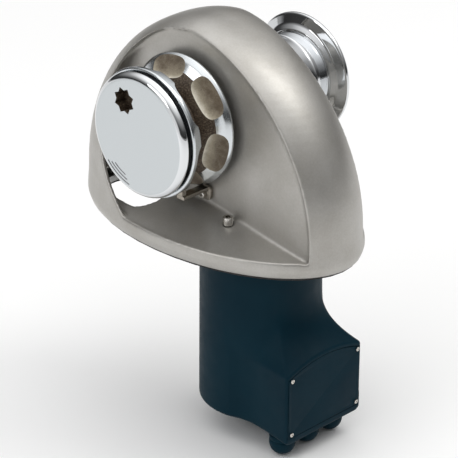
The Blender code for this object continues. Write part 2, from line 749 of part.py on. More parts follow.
def link_pocket(angle):
    """A rounded recess for one flat chain link, open outwards."""
    length = POCKET_HALF_LENGTH
    width = POCKET_HALF_WIDTH
    outline = rounded([(-width, -length), (width, -length), (width, length), (-width, length)], 12.0, 2)
    sections = []
    growth = ((PITCH_RADIUS - 4.5, 0.72), (PITCH_RADIUS + 1.0, 0.88), (PITCH_RADIUS + 20.0, 1.06))
    for radius, scale in growth:
        section = []
        for along, across in outline:
            x = radius * math.cos(angle) - across * scale * math.sin(angle)
            y = radius * math.sin(angle) + across * scale * math.cos(angle)
            section.append((x, y, GROOVE_S + along * scale))
        sections.append(section)
    return stacked("pocket", sections, SHAFT_AXIS, ALONG_SHAFT)


def make_inner_cone():
    bore = SEAT_RADIUS + GAP
    profile = [
        (36.4, bore),
        (36.4, 24.0),
        (39.0, CONE_SMALL_RADIUS + 13.7 * CONE_SLOPE),
        (52.6, CONE_SMALL_RADIUS),
        (52.6, bore),
    ]
    cone = turned("inner_cone", profile, 32, SHAFT_AXIS, ALONG_SHAFT)
    cut(cone, keyway("inner_cone_key"))
    return finished(cone, "bronze")


def make_outer_cone():
    """The cone that the cap presses in; its thin lip shows behind the cap, whose plug sits in its recess."""
    bore = SEAT_RADIUS + GAP
    small = CONE_SMALL_RADIUS - 0.1
    profile = [
        (STEP_S - 8.8, bore),
        (STEP_S - 8.8, small),
        (STEP_S, small + 8.8 * CONE_SLOPE),
        (STEP_S, STEP_RADIUS),
        (LIP_S, STEP_RADIUS),
        (LIP_S, LIP_RADIUS),
        (LIP_END, LIP_RADIUS),
        (LIP_END, PLUG_RADIUS + GAP),
        (PLUG_BACK - 1.0, PLUG_RADIUS + GAP),
        (PLUG_BACK - 1.0, bore),
    ]
    cone = turned("outer_cone", profile, 32, SHAFT_AXIS, ALONG_SHAFT)
    cut(cone, keyway("outer_cone_key"))
    return finished(cone, "chrome")


def star_outline():
    """The eight-pointed outline that two crossed squares make."""
    tip = HANDLE_SQUARE / math.sqrt(2)
    valley = HANDLE_SQUARE / 2 / math.cos(math.radians(22.5))
    points = []
    for step in range(16):
        radius = tip if step % 2 == 0 else valley
        points.append(polar((0.0, 0.0), radius, 22.5 * step + STAR_TURN))
    return points


def make_clutch_cap():
    """The nut of the clutch: a domed disc with a threaded plug and an off-centre socket for the handle."""
    round_edge = arc((CAP_FRONT - CAP_ROUND, CAP_RADIUS - CAP_ROUND), CAP_ROUND, 78.0, 0.0, 4)
    bore = THREAD_RADIUS + 0.4
    profile = [(THREAD_END + 0.8, 0.0), (THREAD_END + 0.8, bore), (PLUG_BACK, bore), (PLUG_BACK, PLUG_RADIUS)]
    profile += [(CAP_BACK, PLUG_RADIUS), (CAP_BACK, round_edge[0][1])] + round_edge[1:] + [(CAP_FRONT, 0.0)]
    cap = turned("clutch_cap", profile, 40, SHAFT_AXIS, ALONG_SHAFT)
    x, z = polar((SHAFT_X, SHAFT_Z), SOCKET_OFFSET, SOCKET_ANGLE)
    cut(cap, plate("star", star_outline(), PLUG_BACK + 1.8, CAP_FRONT + 5.0, (x, 0, z), ALONG_SHAFT))
    return finished(cap, "chrome")


def make_stripper():
    """A bent finger that lifts the chain out of the gypsy's groove, screwed to the pocket's wall."""
    face = WALL_Y + GAP
    foot = rounded([(5, 37.5), (19.5, 37.5), (19.5, 51.4), (5, 51.4)], 5.0, 2)
    stripper = plate("chain_stripper", foot, face, face + STRIPPER_THICKNESS, turn=ALONG_SHAFT)
    arm = [(8, 47.2), (17, 47.2), (17, 50.2), (8, 50.2)]
    join(stripper, plate("arm", arm, face + 1.5, GROOVE_S + 2.4, turn=ALONG_SHAFT))
    finger = [(9.5, 48), (15, 48), (14, 60), (6, 74), (-1, 74.5), (8.5, 58)]
    join(stripper, plate("finger", finger, GROOVE_S - 2.6, GROOVE_S + 2.2, turn=ALONG_SHAFT))
    cut(stripper, drill((STRIPPER_X, 0, STRIPPER_Z), 2.4, 20.0, 45.0, ALONG_SHAFT, 8))
    head_seat = (STRIPPER_X, -(face + STRIPPER_THICKNESS + GAP), STRIPPER_Z)
    screw("stripper_screw", head_seat, ALONG_SHAFT, 3.8, 3.0, 2.0, 9.0)
    return finished(stripper, "stainless")


# The warping drum on the rope side; s is negative there

def make_warping_drum():
    bore = SEAT_RADIUS + GAP
    inner_flange = [(40.0, bore), (40.0, 30.0), (43.0, 53.6), (46.5, 53.6)]
    waist = [(54.0, 47.0), (68.0, 42.0), (86.6, 40.4), (87.6, 42.0)]
    flare = [(101.0, 41.8), (105.2, 46.4), (108.2, 55.6), (109.2, DRUM_RADIUS)]
    face = [(111.0, DRUM_RADIUS), (112.4, 54.8), (110.0, 22.0), (107.0, 21.0), (107.0, bore)]
    profile = [(-y, radius) for y, radius in inner_flange + waist + flare + face]
    drum = turned("warping_drum", profile, 32, SHAFT_AXIS, ALONG_SHAFT)
    cut(drum, keyway("drum_key"))
    return finished(drum, "chrome")


def make_drum_screw():
    washer = [(-110.0, 5.4), (-110.0, 19.0), (-107.0 - GAP, 19.0), (-107.0 - GAP, 5.4)]
    finished(turned("drum_washer", washer, 24, SHAFT_AXIS, ALONG_SHAFT), "stainless")
    outwards = Matrix.Rotation(math.radians(-90), 4, "X")
    screw("drum_screw", (SHAFT_X, 110.0 + GAP, SHAFT_Z), outwards, 8.5, 6.5, 4.2, 24.0)


# The motor below the deck

def make_coupling_and_adaptor():
    bore = MOTOR_SHAFT_RADIUS + GAP
    coupling = [(-31.0, bore), (-31.0, 13.0), (-5.0, 13.0), (-5.0, bore)]
    finished(turned("shaft_coupling", coupling, 24, MOTOR_AXIS), "steel")
    adaptor = [(CAN_TOP + GAP, 38.0), (CAN_TOP + GAP, 48.0), (HOUSING_TOP, 48.0), (HOUSING_TOP, 38.0)]
    finished(turned("motor_adaptor", adaptor, 32, MOTOR_AXIS), "cast_alloy")


def make_motor_stator():
    bore = MOTOR_SHAFT_RADIUS + 0.5
    inner = CAN_RADIUS - CAN_WALL
    fit = inner - 0.4
    can = [
        (CAN_BOTTOM, bore),
        (CAN_BOTTOM, CAN_RADIUS - 2.0),
        (CAN_BOTTOM + 2.0, CAN_RADIUS),
        (CAN_TOP, CAN_RADIUS),
        (CAN_TOP, inner),
        (CAN_BOTTOM + CAN_WALL, inner),
        (CAN_BOTTOM + CAN_WALL, bore),
    ]
    finished(turned("motor_can", can, 32, MOTOR_AXIS), "steel")
    end_plate = [(CAN_TOP - 10.0, bore), (CAN_TOP - 10.0, fit), (CAN_TOP - 1.0, fit), (CAN_TOP - 1.0, bore)]
    finished(turned("motor_end_plate", end_plate, 32, MOTOR_AXIS), "cast_alloy")
    magnets = [(-116.0, 34.0), (-116.0, fit), (-56.0, fit), (-56.0, 34.0)]
    finished(turned("field_magnets", magnets, 32, MOTOR_AXIS), "black_rubber")
    brushes = [(-134.0, 18.5), (-134.0, 41.0), (-124.0, 41.0), (-124.0, 18.5)]
    finished(turned("brush_ring", brushes, 24, MOTOR_AXIS), "black_rubber")


def make_armature():
    """The motor's turning part: commutator below, wound core in the middle and shaft end above."""
    profile = [
        (CAN_BOTTOM - 1.0, 0.0),
        (CAN_BOTTOM - 1.0, MOTOR_SHAFT_RADIUS),
        (-135.0, MOTOR_SHAFT_RADIUS),
        (-134.0, 17.5),
        (-120.0, 17.5),
        (-120.0, 12.0),
        (-114.0, 12.0),
        (-114.0, 33.0),
        (-58.0, 33.0),
        (-58.0, MOTOR_SHAFT_RADIUS),
        (COUPLING_MIDDLE - GAP, MOTOR_SHAFT_RADIUS),
        (COUPLING_MIDDLE - GAP, 0.0),
    ]
    finished(turned("armature", profile, 24, MOTOR_AXIS), "copper")


# The plastic housing that encloses the motor and the terminals

def housing_half_section(inset):
    """Half the plan outline where the box is full size: tube, waisted side, then the box's front."""
    side = BOX_HALF_WIDTH - inset
    front = BOX_FRONT - inset
    tube = arc((MOTOR_X, 0.0), TUBE_RADIUS - inset, 180.0, 76.0, 6)
    waist = [(70.0, 49.0 - inset), (84.0, 46.0 - inset), (104.0, 47.0 - inset)]
    waist += [(front - 1.6, side), (front, side - 1.6)]
    face = [(front, side * share) for share in (0.6, 0.3)]
    return tube + waist + face


def housing_section(z, growth, arch_share, inset):
    """One horizontal section: growth 0 is the round tube, 1 the tube with the whole box."""
    half = housing_half_section(inset)
    points = []
    for index, (x, y) in enumerate(half):
        angle = math.radians(180.0 - 180.0 * index / len(half))
        round_x = MOTOR_X + (TUBE_RADIUS - inset) * math.cos(angle)
        round_y = (TUBE_RADIUS - inset) * math.sin(angle)
        bow_share = max(x - MOTOR_X, 0.0) / (BOX_FRONT - MOTOR_X)
        rise = BOX_ARCH * (1 - (y / BOX_HALF_WIDTH) ** 2) * arch_share * bow_share
        points.append((round_x + (x - round_x) * growth, round_y + (y - round_y) * growth, z + rise))
    front = (MOTOR_X + TUBE_RADIUS - inset) * (1 - growth) + (BOX_FRONT - inset) * growth
    points.append((front, 0.0, z + BOX_ARCH * arch_share))
    points += [(x, -y, height) for x, y, height in reversed(points[1:-1])]
    return points


def housing_solid(name, inset, top):
    """The outer or the inner skin: a round tube that spreads into the terminal box below its shoulder."""
    sections = [housing_section(top, 0.0, 0.0, inset), housing_section(SHOULDER_TOP + 4.0, 0.0, 0.0, inset)]
    shoulder_steps = 4
    for step in range(1, shoulder_steps + 1):
        share = step / shoulder_steps
        z = SHOULDER_TOP + (BOX_TOP + 1.5 - SHOULDER_TOP) * share - inset
        sections.append(housing_section(z, share**3 * 0.985, share**2, inset))
    sections.append(housing_section(BOX_TOP - inset - 0.5, 1.0, 1.0, inset))
    sections.append(housing_section(-128.0, 1.0, 0.0, inset))
    sections.append(sloped(housing_section(-150.0, 1.0, 0.0, inset), inset))
    sections.append(sloped(housing_section(TUBE_BOTTOM + inset + 3.0, 1.0, 0.0, inset), inset))
    sections.append(sloped(housing_section(TUBE_BOTTOM + inset, 1.0, 0.0, inset + 3.5), inset))
    return stacked(name, sections)


def sloped(section, inset):
    """The bottom falls a little towards the box's front, which stays square."""
    moved = []
    for x, y, z in section:
        share = max(x - (MOTOR_X + 20.0), 0.0) / (BOX_FRONT - MOTOR_X - 20.0)
        forward = min(x + 3.0 * share * share, BOX_FRONT - inset)
        moved.append((forward, y, z + (BOX_BOTTOM - TUBE_BOTTOM) * share))
    return moved


def lid_plate(name, grow, back, front):
    """The lid, or with `grow` the recess that holds it, across the box's front."""
    half_width = LID_HALF_WIDTH + grow
    shares = [step / 5 for step in range(-5, 6)]
    top = [(half_width * share, LID_TOP + grow + BOX_ARCH * (1 - share * share)) for share in shares]
    outline = [(-half_width, LID_BOTTOM - grow)] + top + [(half_width, LID_BOTTOM - grow)]
    sections = [[(x, y, z) for y, z in outline] for x in (back, front)]
    return stacked(name, sections)


def lid_screw_places():
    heights = (LID_TOP - 1.0, LID_BOTTOM + LID_SCREW_INSET)
    return [(side * (LID_HALF_WIDTH - LID_SCREW_INSET), z) for z in heights for side in (-1, 1)]


def make_motor_housing():
    housing = housing_solid("motor_housing", 0.0, HOUSING_TOP)
    cut(housing, housing_solid("inside", PLASTIC_WALL, HOUSING_TOP + 10.0))
    cut(housing, lid_plate("recess", GAP, LID_BACK - GAP, BOX_FRONT + 5.0))
    for y in GLAND_YS:
        cut(housing, drill((GLAND_X, y, 0), 8.5, -175.0, -150.0, segments=12))
    return finished(housing, "dark_plastic")


def make_terminal_cover():
    lid = lid_plate("terminal_cover", 0.0, LID_BACK, BOX_FRONT)
    for y, z in lid_screw_places():
        cut(lid, drill((0, y, z), 1.4, 110.0, 140.0, ALONG_BOW, 8))
    finished(lid, "dark_plastic")
    for number, (y, z) in enumerate(lid_screw_places(), 1):
        screw(f"terminal_cover_screw_{number}", (BOX_FRONT + GAP, y, z), ALONG_BOW, 2.1, 1.2, 1.0, 3.0)


def make_terminals():
    finished(block("terminal_block", (97.0, -32.0, -140.0), (TERMINAL_FRONT, 32.0, -112.0)), "black_rubber")
    for number, y in enumerate((-20.0, 0.0, 20.0), 1):
        profile = [(GAP, 0.0), (GAP, 5.5), (4.0, 5.5), (4.0, 3.0), (14.0, 3.0), (14.0, 0.0)]
        stud = turned(f"terminal_stud_{number}", profile, 12, (TERMINAL_FRONT, y, -126.0), ALONG_BOW)
        finished(stud, "copper")


def gland_floor():
    """Height of the box's outer floor where the glands stand."""
    share = (GLAND_X - MOTOR_X - 20.0) / (BOX_FRONT - MOTOR_X - 20.0)
    return TUBE_BOTTOM + (BOX_BOTTOM - TUBE_BOTTOM) * share


def make_glands():
    collar_top = gland_floor() - 1.8
    for number, y in enumerate(GLAND_YS, 1):
        profile = [(-20.5, 0.0), (-19.6, 4.6), (-17.4, 8.2), (-13.8, 10.8), (-9.5, 12.0), (0.0, 12.0)]
        profile += [(0.0, 8.0), (14.0, 8.0), (14.0, 0.0)]
        gland = turned(f"cable_gland_{number}", profile, 16, (GLAND_X, y, collar_top))
        finished(gland, "dark_plastic")


def build():
    clear_scene()
    make_cover()
    make_deck_gasket()
    make_base_frame()
    make_cover_screws()
    make_gearbox_housing()
    make_gearbox_side_plate()
    make_gearbox_screws()
    make_shaft_bearings()
    make_main_shaft()
    make_keys()
    make_worm_wheel()
    make_worm()
    make_worm_bearings()
    make_gypsy()
    make_inner_cone()
    make_outer_cone()
    make_clutch_cap()
    make_stripper()
    make_warping_drum()
    make_drum_screw()
    make_coupling_and_adaptor()
    make_motor_stator()
    make_armature()
    make_motor_housing()
    make_terminal_cover()
    make_terminals()
    make_glands()


build()
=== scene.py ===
"""Looks of the anchor windlass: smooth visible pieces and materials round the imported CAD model.

Shapes are worked out in millimetres and become metres in mesh_object(). +X points to the bow, -Y to the
chain side, +Y to the rope side and +Z up, with the origin at the centre of the base on the deck plane.
"""

import json
import math

import bmesh
import bpy
from mathutils import Matrix, Vector


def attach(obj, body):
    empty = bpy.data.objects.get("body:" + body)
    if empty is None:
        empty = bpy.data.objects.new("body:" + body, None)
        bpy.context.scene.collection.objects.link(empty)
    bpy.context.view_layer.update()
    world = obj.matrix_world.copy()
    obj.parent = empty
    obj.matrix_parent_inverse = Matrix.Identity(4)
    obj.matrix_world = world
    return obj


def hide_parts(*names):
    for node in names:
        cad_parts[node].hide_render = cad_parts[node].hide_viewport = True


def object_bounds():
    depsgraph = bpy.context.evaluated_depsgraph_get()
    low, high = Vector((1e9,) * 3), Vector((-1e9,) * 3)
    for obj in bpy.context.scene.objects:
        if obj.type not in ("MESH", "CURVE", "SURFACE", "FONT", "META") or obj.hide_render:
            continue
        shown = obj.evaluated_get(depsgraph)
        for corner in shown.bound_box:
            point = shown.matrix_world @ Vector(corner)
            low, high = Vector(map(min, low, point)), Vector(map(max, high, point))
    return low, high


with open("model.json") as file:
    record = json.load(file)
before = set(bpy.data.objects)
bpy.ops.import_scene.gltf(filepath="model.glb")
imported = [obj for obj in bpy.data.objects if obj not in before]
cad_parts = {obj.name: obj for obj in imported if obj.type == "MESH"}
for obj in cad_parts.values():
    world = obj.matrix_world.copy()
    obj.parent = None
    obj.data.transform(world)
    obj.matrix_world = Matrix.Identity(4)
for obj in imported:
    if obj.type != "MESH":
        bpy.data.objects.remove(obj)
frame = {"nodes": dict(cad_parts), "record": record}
CAD_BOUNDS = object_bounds()

MM = 0.001

# The cover
BASE_HALF_LENGTH = 147.0
BASE_HALF_WIDTH = 87.0
BELLY = 3.0
BELLY_Z = 10.0
SPRING_HALF_LENGTH = BASE_HALF_LENGTH + BELLY / 2
SPRING_HALF_WIDTH = BASE_HALF_WIDTH + BELLY / 2
DOME_TOP = 196.5
DOME_SPRING = 30.0
DOME_LEAN = 10.0
DOME_FULLNESS = 1.7
CROWN_FULLNESS = 2.8
DOME_AROUND = 104
DOME_UPWARD = 30
DECK_GAP = 1.5
SHELL = 4.0
WALL_Y = 33.0
CROWN_HALF_WIDTH = 35.0
RIM_HEIGHT = 18.0
LEDGE_HEIGHT = 34.0
LEDGE_FALL = 0.1525
LEDGE_FALLS_FROM = 13.0
LEDGE_LEAST_WIDTH = 6.0
LEDGE_REACH = 170.0
LEDGE_STEPS = 34
SHAFT_HOLE_RADIUS = 26.0
COVER_SCREW = (46.5, 41.7)
SCREW_HOLE_RADIUS = 3.4
SCREW_SEAT_Z = 26.0
COUNTERBORE_RADIUS = 6.5
STRIPPER = (10.5, 42.0)
COVER_VOXEL = 1.2
COVER_RELAXING = 14
CHAIN_HOLE = ((-30, -36), (-30, -56), (-42, -69), (-84, -64), (-112, -42), (-112, -36))
# The pocket's lip round the aft side of the gypsy: (degrees about the shaft, radius)
LIP_CURVE = ((108.0, 80.0), (140.0, 80.6), (177.0, 86.0), (205.0, 87.0), (220.0, 89.0), (252.0, 97.5))

# The shaft and what is on it. Names in S are distances out of the middle plane, along the shaft
SHAFT = (-8.0, 0.0, 110.0)
SHAFT_BORE = 12.3
CHAIN_PITCH = 24.0
CHAIN_POCKETS = 6
GYPSY_PHASE = 42.0
POCKET_HALF_LENGTH = 25.0
POCKET_HALF_WIDTH = 19.0
# A link pocket's flare: (height over its floor, scale of its outline)
POCKET_FLARE = ((0.0, 0.5), (0.4, 0.62), (1.2, 0.72), (2.8, 0.81), (5.5, 0.88), (10.0, 0.95), (24.5, 1.06))
GYPSY_RADIUS = 60.4
GYPSY_BORE = 12.8
HUB_RADIUS = 30.0
POLISHED_FROM = 49.5
GROOVE_S = 64.0
GROOVE_BACK = 48.5
GROOVE_FRONT = 79.0
FLANGE_S = 87.6
CONE_SLOPE = 0.62
CONE_DEPTH = 8.8
CONE_RADIUS = 33.9
SEAT_RADIUS = 34.4
STEP_S = 83.0
STEP_RADIUS = 52.0
LIP_S = 91.0
LIP_END = 92.3
LIP_RADIUS = 56.0
PLUG_RADIUS = 47.6
PLUG_BACK = 85.6
KEY_SLOT_HALF_WIDTH = 2.8
KEY_SLOT_TOP = 14.8
CAP_BACK = 92.8
CAP_FRONT = 98.4
CAP_RADIUS = 57.0
CAP_ROUND = 7.0
THREAD_TOP = 96.2
THREAD_RADIUS = 10.4
HANDLE_SQUARE = 17.5
SOCKET_OFFSET = 33.0
SOCKET_ANGLE = 118.5
STAR_TURN = 24.0
STAR_FLOOR = PLUG_BACK + 1.8
# The ornament on the cap's face: (radius, first degree, last degree) of each arc
WAVES = ((50.0, 222.0, 258.0), (46.8, 226.0, 254.0), (43.6, 230.0, 250.0))
WAVE_WIDTH = 1.3
WAVE_DEPTH = 0.5
DRUM_RADIUS = 56.3

# The motor housing
MOTOR_X = 47.4
TUBE_RADIUS = 55.0
BOX_FRONT = 127.0
BOX_HALF_WIDTH = 48.5
BOX_TOP = -95.0
BOX_ARCH = 9.0
BOX_MIDDLE = -128.0
BOX_BOTTOM = -163.5
TUBE_BOTTOM = -158.5
SLOPE_TOP = -150.0
SLOPE_FROM = MOTOR_X + 20.0
SHOULDER_TOP = -38.0
SHOULDER_STEPS = 14
SHOULDER_GROWTH = 2.4
SHOULDER_FILL = 0.985
HOUSING_TOP = 1.2
HOUSING_VOXEL = 1.3
HOUSING_RELAXING = 5
PLASTIC_WALL = 3.4
LID_BACK = 123.6
LID_HALF_WIDTH = 46.0
LID_BOTTOM = -156.0
LID_TOP = -97.5
LID_GAP = 0.6
LID_SCREW_INSET = 3.6
GLAND_X = 106.0
GLAND_YS = (-31.0, 0.0, 31.0)
GLAND_HOLE_RADIUS = 8.5
GLAND_SINK = 1.8

# Directions: local Z of a piece on the shaft points out of the chain side
ALONG_SHAFT = Matrix.Rotation(math.radians(90), 4, "X")
TO_ROPE_SIDE = Matrix.Rotation(math.radians(-90), 4, "X")
ALONG_BOW = Matrix.Rotation(math.radians(90), 4, "Y")
UPRIGHT = Matrix.Identity(4)
ORIGIN = (0.0, 0.0, 0.0)

SMOOTH_TURN = 144
ROUND_CUT = 48


# Mesh building


def mesh_object(name, points, faces, at, turn):
    """A closed mesh from points in millimetres, with its faces pointing out."""
    bm = bmesh.new()
    verts = [bm.verts.new(Vector(point) * MM) for point in points]
    for face in faces:
        bm.faces.new([verts[index] for index in face])
    bmesh.ops.remove_doubles(bm, verts=bm.verts, dist=1e-6)
    bmesh.ops.recalc_face_normals(bm, faces=bm.faces)
    mesh = bpy.data.meshes.new(name)
    bm.to_mesh(mesh)
    bm.free()
    obj = bpy.data.objects.new(name, mesh)
    obj.matrix_world = Matrix.Translation(Vector(at) * MM) @ turn
    bpy.context.scene.collection.objects.link(obj)
    return obj


def turned(name, profile, segments, at, turn=UPRIGHT):
    """A lathe shape about local Z from (height, radius) pairs.

    With a bore the profile closes on itself. Without one it starts and ends at radius 0.
    """
    points = []
    rings = []
    for height, radius in profile:
        if radius == 0:
            rings.append([len(points)] * segments)
            points.append((0.0, 0.0, height))
            continue
        rings.append(list(range(len(points), len(points) + segments)))
        for step in range(segments):
            angle = 2 * math.pi * step / segments
            points.append((radius * math.cos(angle), radius * math.sin(angle), height))
    closes = profile[0][1] > 0
    faces = []
    for index in range(len(rings) if closes else len(rings) - 1):
        low = rings[index]
        high = rings[(index + 1) % len(rings)]
        for step in range(segments):
            after = (step + 1) % segments
            face = list(dict.fromkeys((low[step], low[after], high[after], high[step])))
            if len(face) > 2:
                faces.append(face)
    return mesh_object(name, points, faces, at, turn)


def stacked(name, sections, at=ORIGIN, turn=UPRIGHT):
    """A closed loft through sections of equal point count."""
    count = len(sections[0])
    points = [point for section in sections for point in section]
    faces = [list(range(count)), list(range(len(points) - count, len(points)))]
    for level in range(len(sections) - 1):
        for step in range(count):
            after = (step + 1) % count
            low = level * count
            faces.append([low + step, low + after, low + count + after, low + count + step])
    return mesh_object(name, points, faces, at, turn)


def plate(name, outline, low, high, at=ORIGIN, turn=UPRIGHT):
    """An outline in local X and Y, extruded from low to high along local Z."""
    sections = [[(x, y, height) for x, y in outline] for height in (low, high)]
    return stacked(name, sections, at, turn)


def rectangle(half_length, half_width):
    return [
        (-half_length, -half_width),
        (half_length, -half_width),
        (half_length, half_width),
        (-half_length, half_width),
    ]


def ellipse(half_length, half_width, segments):
    angles = [2 * math.pi * step / segments for step in range(segments)]
    return [(half_length * math.cos(angle), half_width * math.sin(angle)) for angle in angles]


def polar(centre, radius, degrees):
    angle = math.radians(degrees)
    return centre[0] + radius * math.cos(angle), centre[1] + radius * math.sin(angle)


def arc(centre, radius, first, last, steps):
    return [polar(centre, radius, first + (last - first) * step / steps) for step in range(steps + 1)]


def softened(points, radius, steps=4, closed=True):
    """The outline with each corner replaced by a curve that starts `radius` before it."""
    outline = []
    count = len(points)
    for index, corner in enumerate(points):
        if not closed and index in (0, count - 1):
            outline.append(tuple(corner))
            continue
        here = Vector(corner)
        before = Vector(points[index - 1])
        after = Vector(points[(index + 1) % count])
        start = here + (before - here).normalized() * min(radius, (before - here).length * 0.45)
        end = here + (after - here).normalized() * min(radius, (after - here).length * 0.45)
        for step in range(steps + 1):
            t = step / steps
            outline.append(tuple(start * (1 - t) ** 2 + here * 2 * t * (1 - t) + end * t * t))
    return outline


def drill(at, radius, low, high, turn=UPRIGHT):
    """A round cutter along local Z."""
    return plate("drill", ellipse(radius, radius, ROUND_CUT), low, high, at, turn)


def apply_modifiers(obj):
    bpy.context.view_layer.update()
    graph = bpy.context.evaluated_depsgraph_get()
    mesh = bpy.data.meshes.new_from_object(obj.evaluated_get(graph))
    obj.modifiers.clear()
    obj.data = mesh


def combine(target, tool, operation):
    """Applies one exact Boolean. The new faces keep the tool's materials."""
    modifier = target.modifiers.new(operation.lower(), "BOOLEAN")
    modifier.operation = operation
    modifier.solver = "EXACT"
    modifier.material_mode = "TRANSFER"
    modifier.object = tool
    apply_modifiers(target)
    bpy.data.objects.remove(tool)
    return target


def cut(target, *tools):
    for tool in tools:
        combine(target, tool, "DIFFERENCE")
    return target


def remeshed(obj, voxel, rounds):
    """Turns the piece into an even skin and relaxes it, which rounds every edge as a casting's edges are."""
    remesh = obj.modifiers.new("skin", "REMESH")
    remesh.mode = "VOXEL"
    remesh.voxel_size = voxel * MM
    smooth = obj.modifiers.new("relax", "SMOOTH")
    smooth.factor = 0.5
    smooth.iterations = rounds
    apply_modifiers(obj)


def bevelled(obj, width, angle=35.0):
    """Rounds every edge sharper than the angle."""
    bevel = obj.modifiers.new("edges", "BEVEL")
    bevel.width = width * MM
    bevel.segments = 3
    bevel.limit_method = "ANGLE"
    bevel.angle_limit = math.radians(angle)
    apply_modifiers(obj)


def dressed(obj, body, material, replaces, sharp_angle=35.0):
    """Gives the piece its material and smooth shading, and lets it ride on its body."""
    if not obj.data.materials:
        obj.data.materials.append(material)
    for index, own in enumerate(obj.data.materials):
        if own is None:
            obj.data.materials[index] = material
    obj.data.shade_smooth()
    obj.data.set_sharp_from_angle(angle=math.radians(sharp_angle))
    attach(obj, body)
    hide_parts(*replaces)


# Materials


def fill_ramp(node, stops):
    """Sets a colour ramp's (position, grey or colour) stops."""
    elements = node.color_ramp.elements
    for index, (position, colour) in enumerate(stops):
        element = elements[index] if index < 2 else elements.new(position)
        element.position = position
        colour = (colour,) * 3 if isinstance(colour, float) else colour
        element.color = (*colour, 1.0)


class Finish:
    """A Principled material with helpers that add procedural detail in object coordinates."""

    def __init__(self, name, colour, metallic, roughness):
        self.material = bpy.data.materials.new(name)
        self.material.use_nodes = True
        self.nodes = self.material.node_tree.nodes
        self.links = self.material.node_tree.links
        self.shader = self.nodes["Principled BSDF"]
        self.shader.inputs["Base Color"].default_value = (*colour, 1.0)
        self.shader.inputs["Metallic"].default_value = metallic
        self.shader.inputs["Roughness"].default_value = roughness
        self.place = self.nodes.new("ShaderNodeTexCoord").outputs["Object"]
        self.height = None

    def noise(self, scale, detail=4.0, stretch=None):
        texture = self.nodes.new("ShaderNodeTexNoise")
        texture.inputs["Scale"].default_value = scale
        texture.inputs["Detail"].default_value = detail
        texture.inputs["Roughness"].default_value = 0.55
        source = self.place
        if stretch:
            mapping = self.nodes.new("ShaderNodeMapping")
            mapping.inputs["Scale"].default_value = stretch
            self.links.new(self.place, mapping.inputs["Vector"])
            source = mapping.outputs["Vector"]
        self.links.new(source, texture.inputs["Vector"])
        return texture.outputs["Fac"]

    def ramp(self, value, *stops):
        node = self.nodes.new("ShaderNodeValToRGB")
        fill_ramp(node, stops)
        self.links.new(value, node.inputs["Fac"])
        return node.outputs["Color"]

    def colour(self, output):
        self.links.new(output, self.shader.inputs["Base Color"])

    def rough(self, scale, low, high, stretch=None):
        """Roughness that wanders between two values."""
        wander = self.ramp(self.noise(scale, stretch=stretch), (0.3, low), (0.7, high))
        self.links.new(wander, self.shader.inputs["Roughness"])

    def bump(self, value, depth_mm, strength):
        """Adds a height, in millimetres, on top of the bumps already there."""
        node = self.nodes.new("ShaderNodeBump")
        node.inputs["Strength"].default_value = strength
        node.inputs["Distance"].default_value = depth_mm * MM
        self.links.new(value, node.inputs["Height"])
        if self.height:
            self.links.new(self.height, node.inputs["Normal"])
        self.height = node.outputs["Normal"]
        self.links.new(self.height, self.shader.inputs["Normal"])

    def scaled(self, value, low, high):
        """Maps low..high to 0..1."""
        node = self.nodes.new("ShaderNodeMapRange")
        node.inputs["From Min"].default_value = low
        node.inputs["From Max"].default_value = high
        self.links.new(value, node.inputs["Value"])
        return node.outputs["Result"]

    def add(self, first, second, share):
        """first + second * share"""
        node = self.nodes.new("ShaderNodeMath")
        node.operation = "MULTIPLY_ADD"
        self.links.new(second, node.inputs[0])
        node.inputs[1].default_value = share
        self.links.new(first, node.inputs[2])
        return node.outputs["Value"]


def satin_silver():
    """Satin silver coat on the cast cover: fine grain with a slow change of tone."""
    finish = Finish("satin_silver_look", (0.43, 0.415, 0.39), 0.72, 0.42)
    tone = finish.add(finish.noise(26.0, 3.0), finish.noise(620.0, 2.0), 0.5)
    finish.colour(finish.ramp(tone, (0.55, (0.385, 0.37, 0.343)), (0.95, (0.455, 0.443, 0.42))))
    finish.rough(70.0, 0.37, 0.43)
    finish.bump(finish.noise(900.0, 2.0), 0.04, 0.5)
    return finish.material


def chrome():
    """Polished chrome with faint polishing waves."""
    finish = Finish("chrome_look", (0.72, 0.735, 0.75), 1.0, 0.06)
    finish.rough(160.0, 0.03, 0.07)
    return finish.material


def satin_chrome():
    """The cap's face: chrome over a finely ground face, which blurs what it reflects."""
    finish = Finish("satin_chrome_look", (0.56, 0.59, 0.605), 1.0, 0.16)
    finish.rough(90.0, 0.13, 0.19)
    finish.bump(finish.noise(900.0, 2.0), 0.01, 0.3)
    return finish.material


def gypsy_chrome():
    """Plating over a ground casting: duller than the cap's and slightly blue."""
    finish = Finish("gypsy_chrome_look", (0.64, 0.67, 0.69), 1.0, 0.16)
    finish.rough(140.0, 0.13, 0.21)
    return finish.material


def raw_casting_and_shade():
    """The gypsy's unpolished pockets: sand-cast skin, pale outboard and, as painted shade of the back
    flange, browner towards the cover.
    """
    finish = Finish("raw_casting_and_shade_look", (0.3, 0.27, 0.22), 0.2, 0.6)
    split = finish.nodes.new("ShaderNodeSeparateXYZ")
    finish.links.new(finish.place, split.inputs["Vector"])
    # Painted shade: the colour turns browner towards the cover, where the back flange shades each pocket
    depth = finish.scaled(split.outputs["Z"], 46.0 * MM, 57.0 * MM)
    tone = finish.add(depth, finish.noise(160.0, 3.0), 0.5)
    tone = finish.scaled(finish.add(tone, finish.noise(1200.0, 3.0), 0.45), 0.3, 1.6)
    brown, tan, pale = (0.13, 0.1, 0.07), (0.42, 0.375, 0.29), (0.86, 0.83, 0.73)
    finish.colour(finish.ramp(tone, (0.1, brown), (0.5, tan), (0.85, pale)))
    finish.rough(300.0, 0.5, 0.7)
    finish.bump(finish.noise(650.0, 3.0), 0.2, 0.7)
    return finish.material


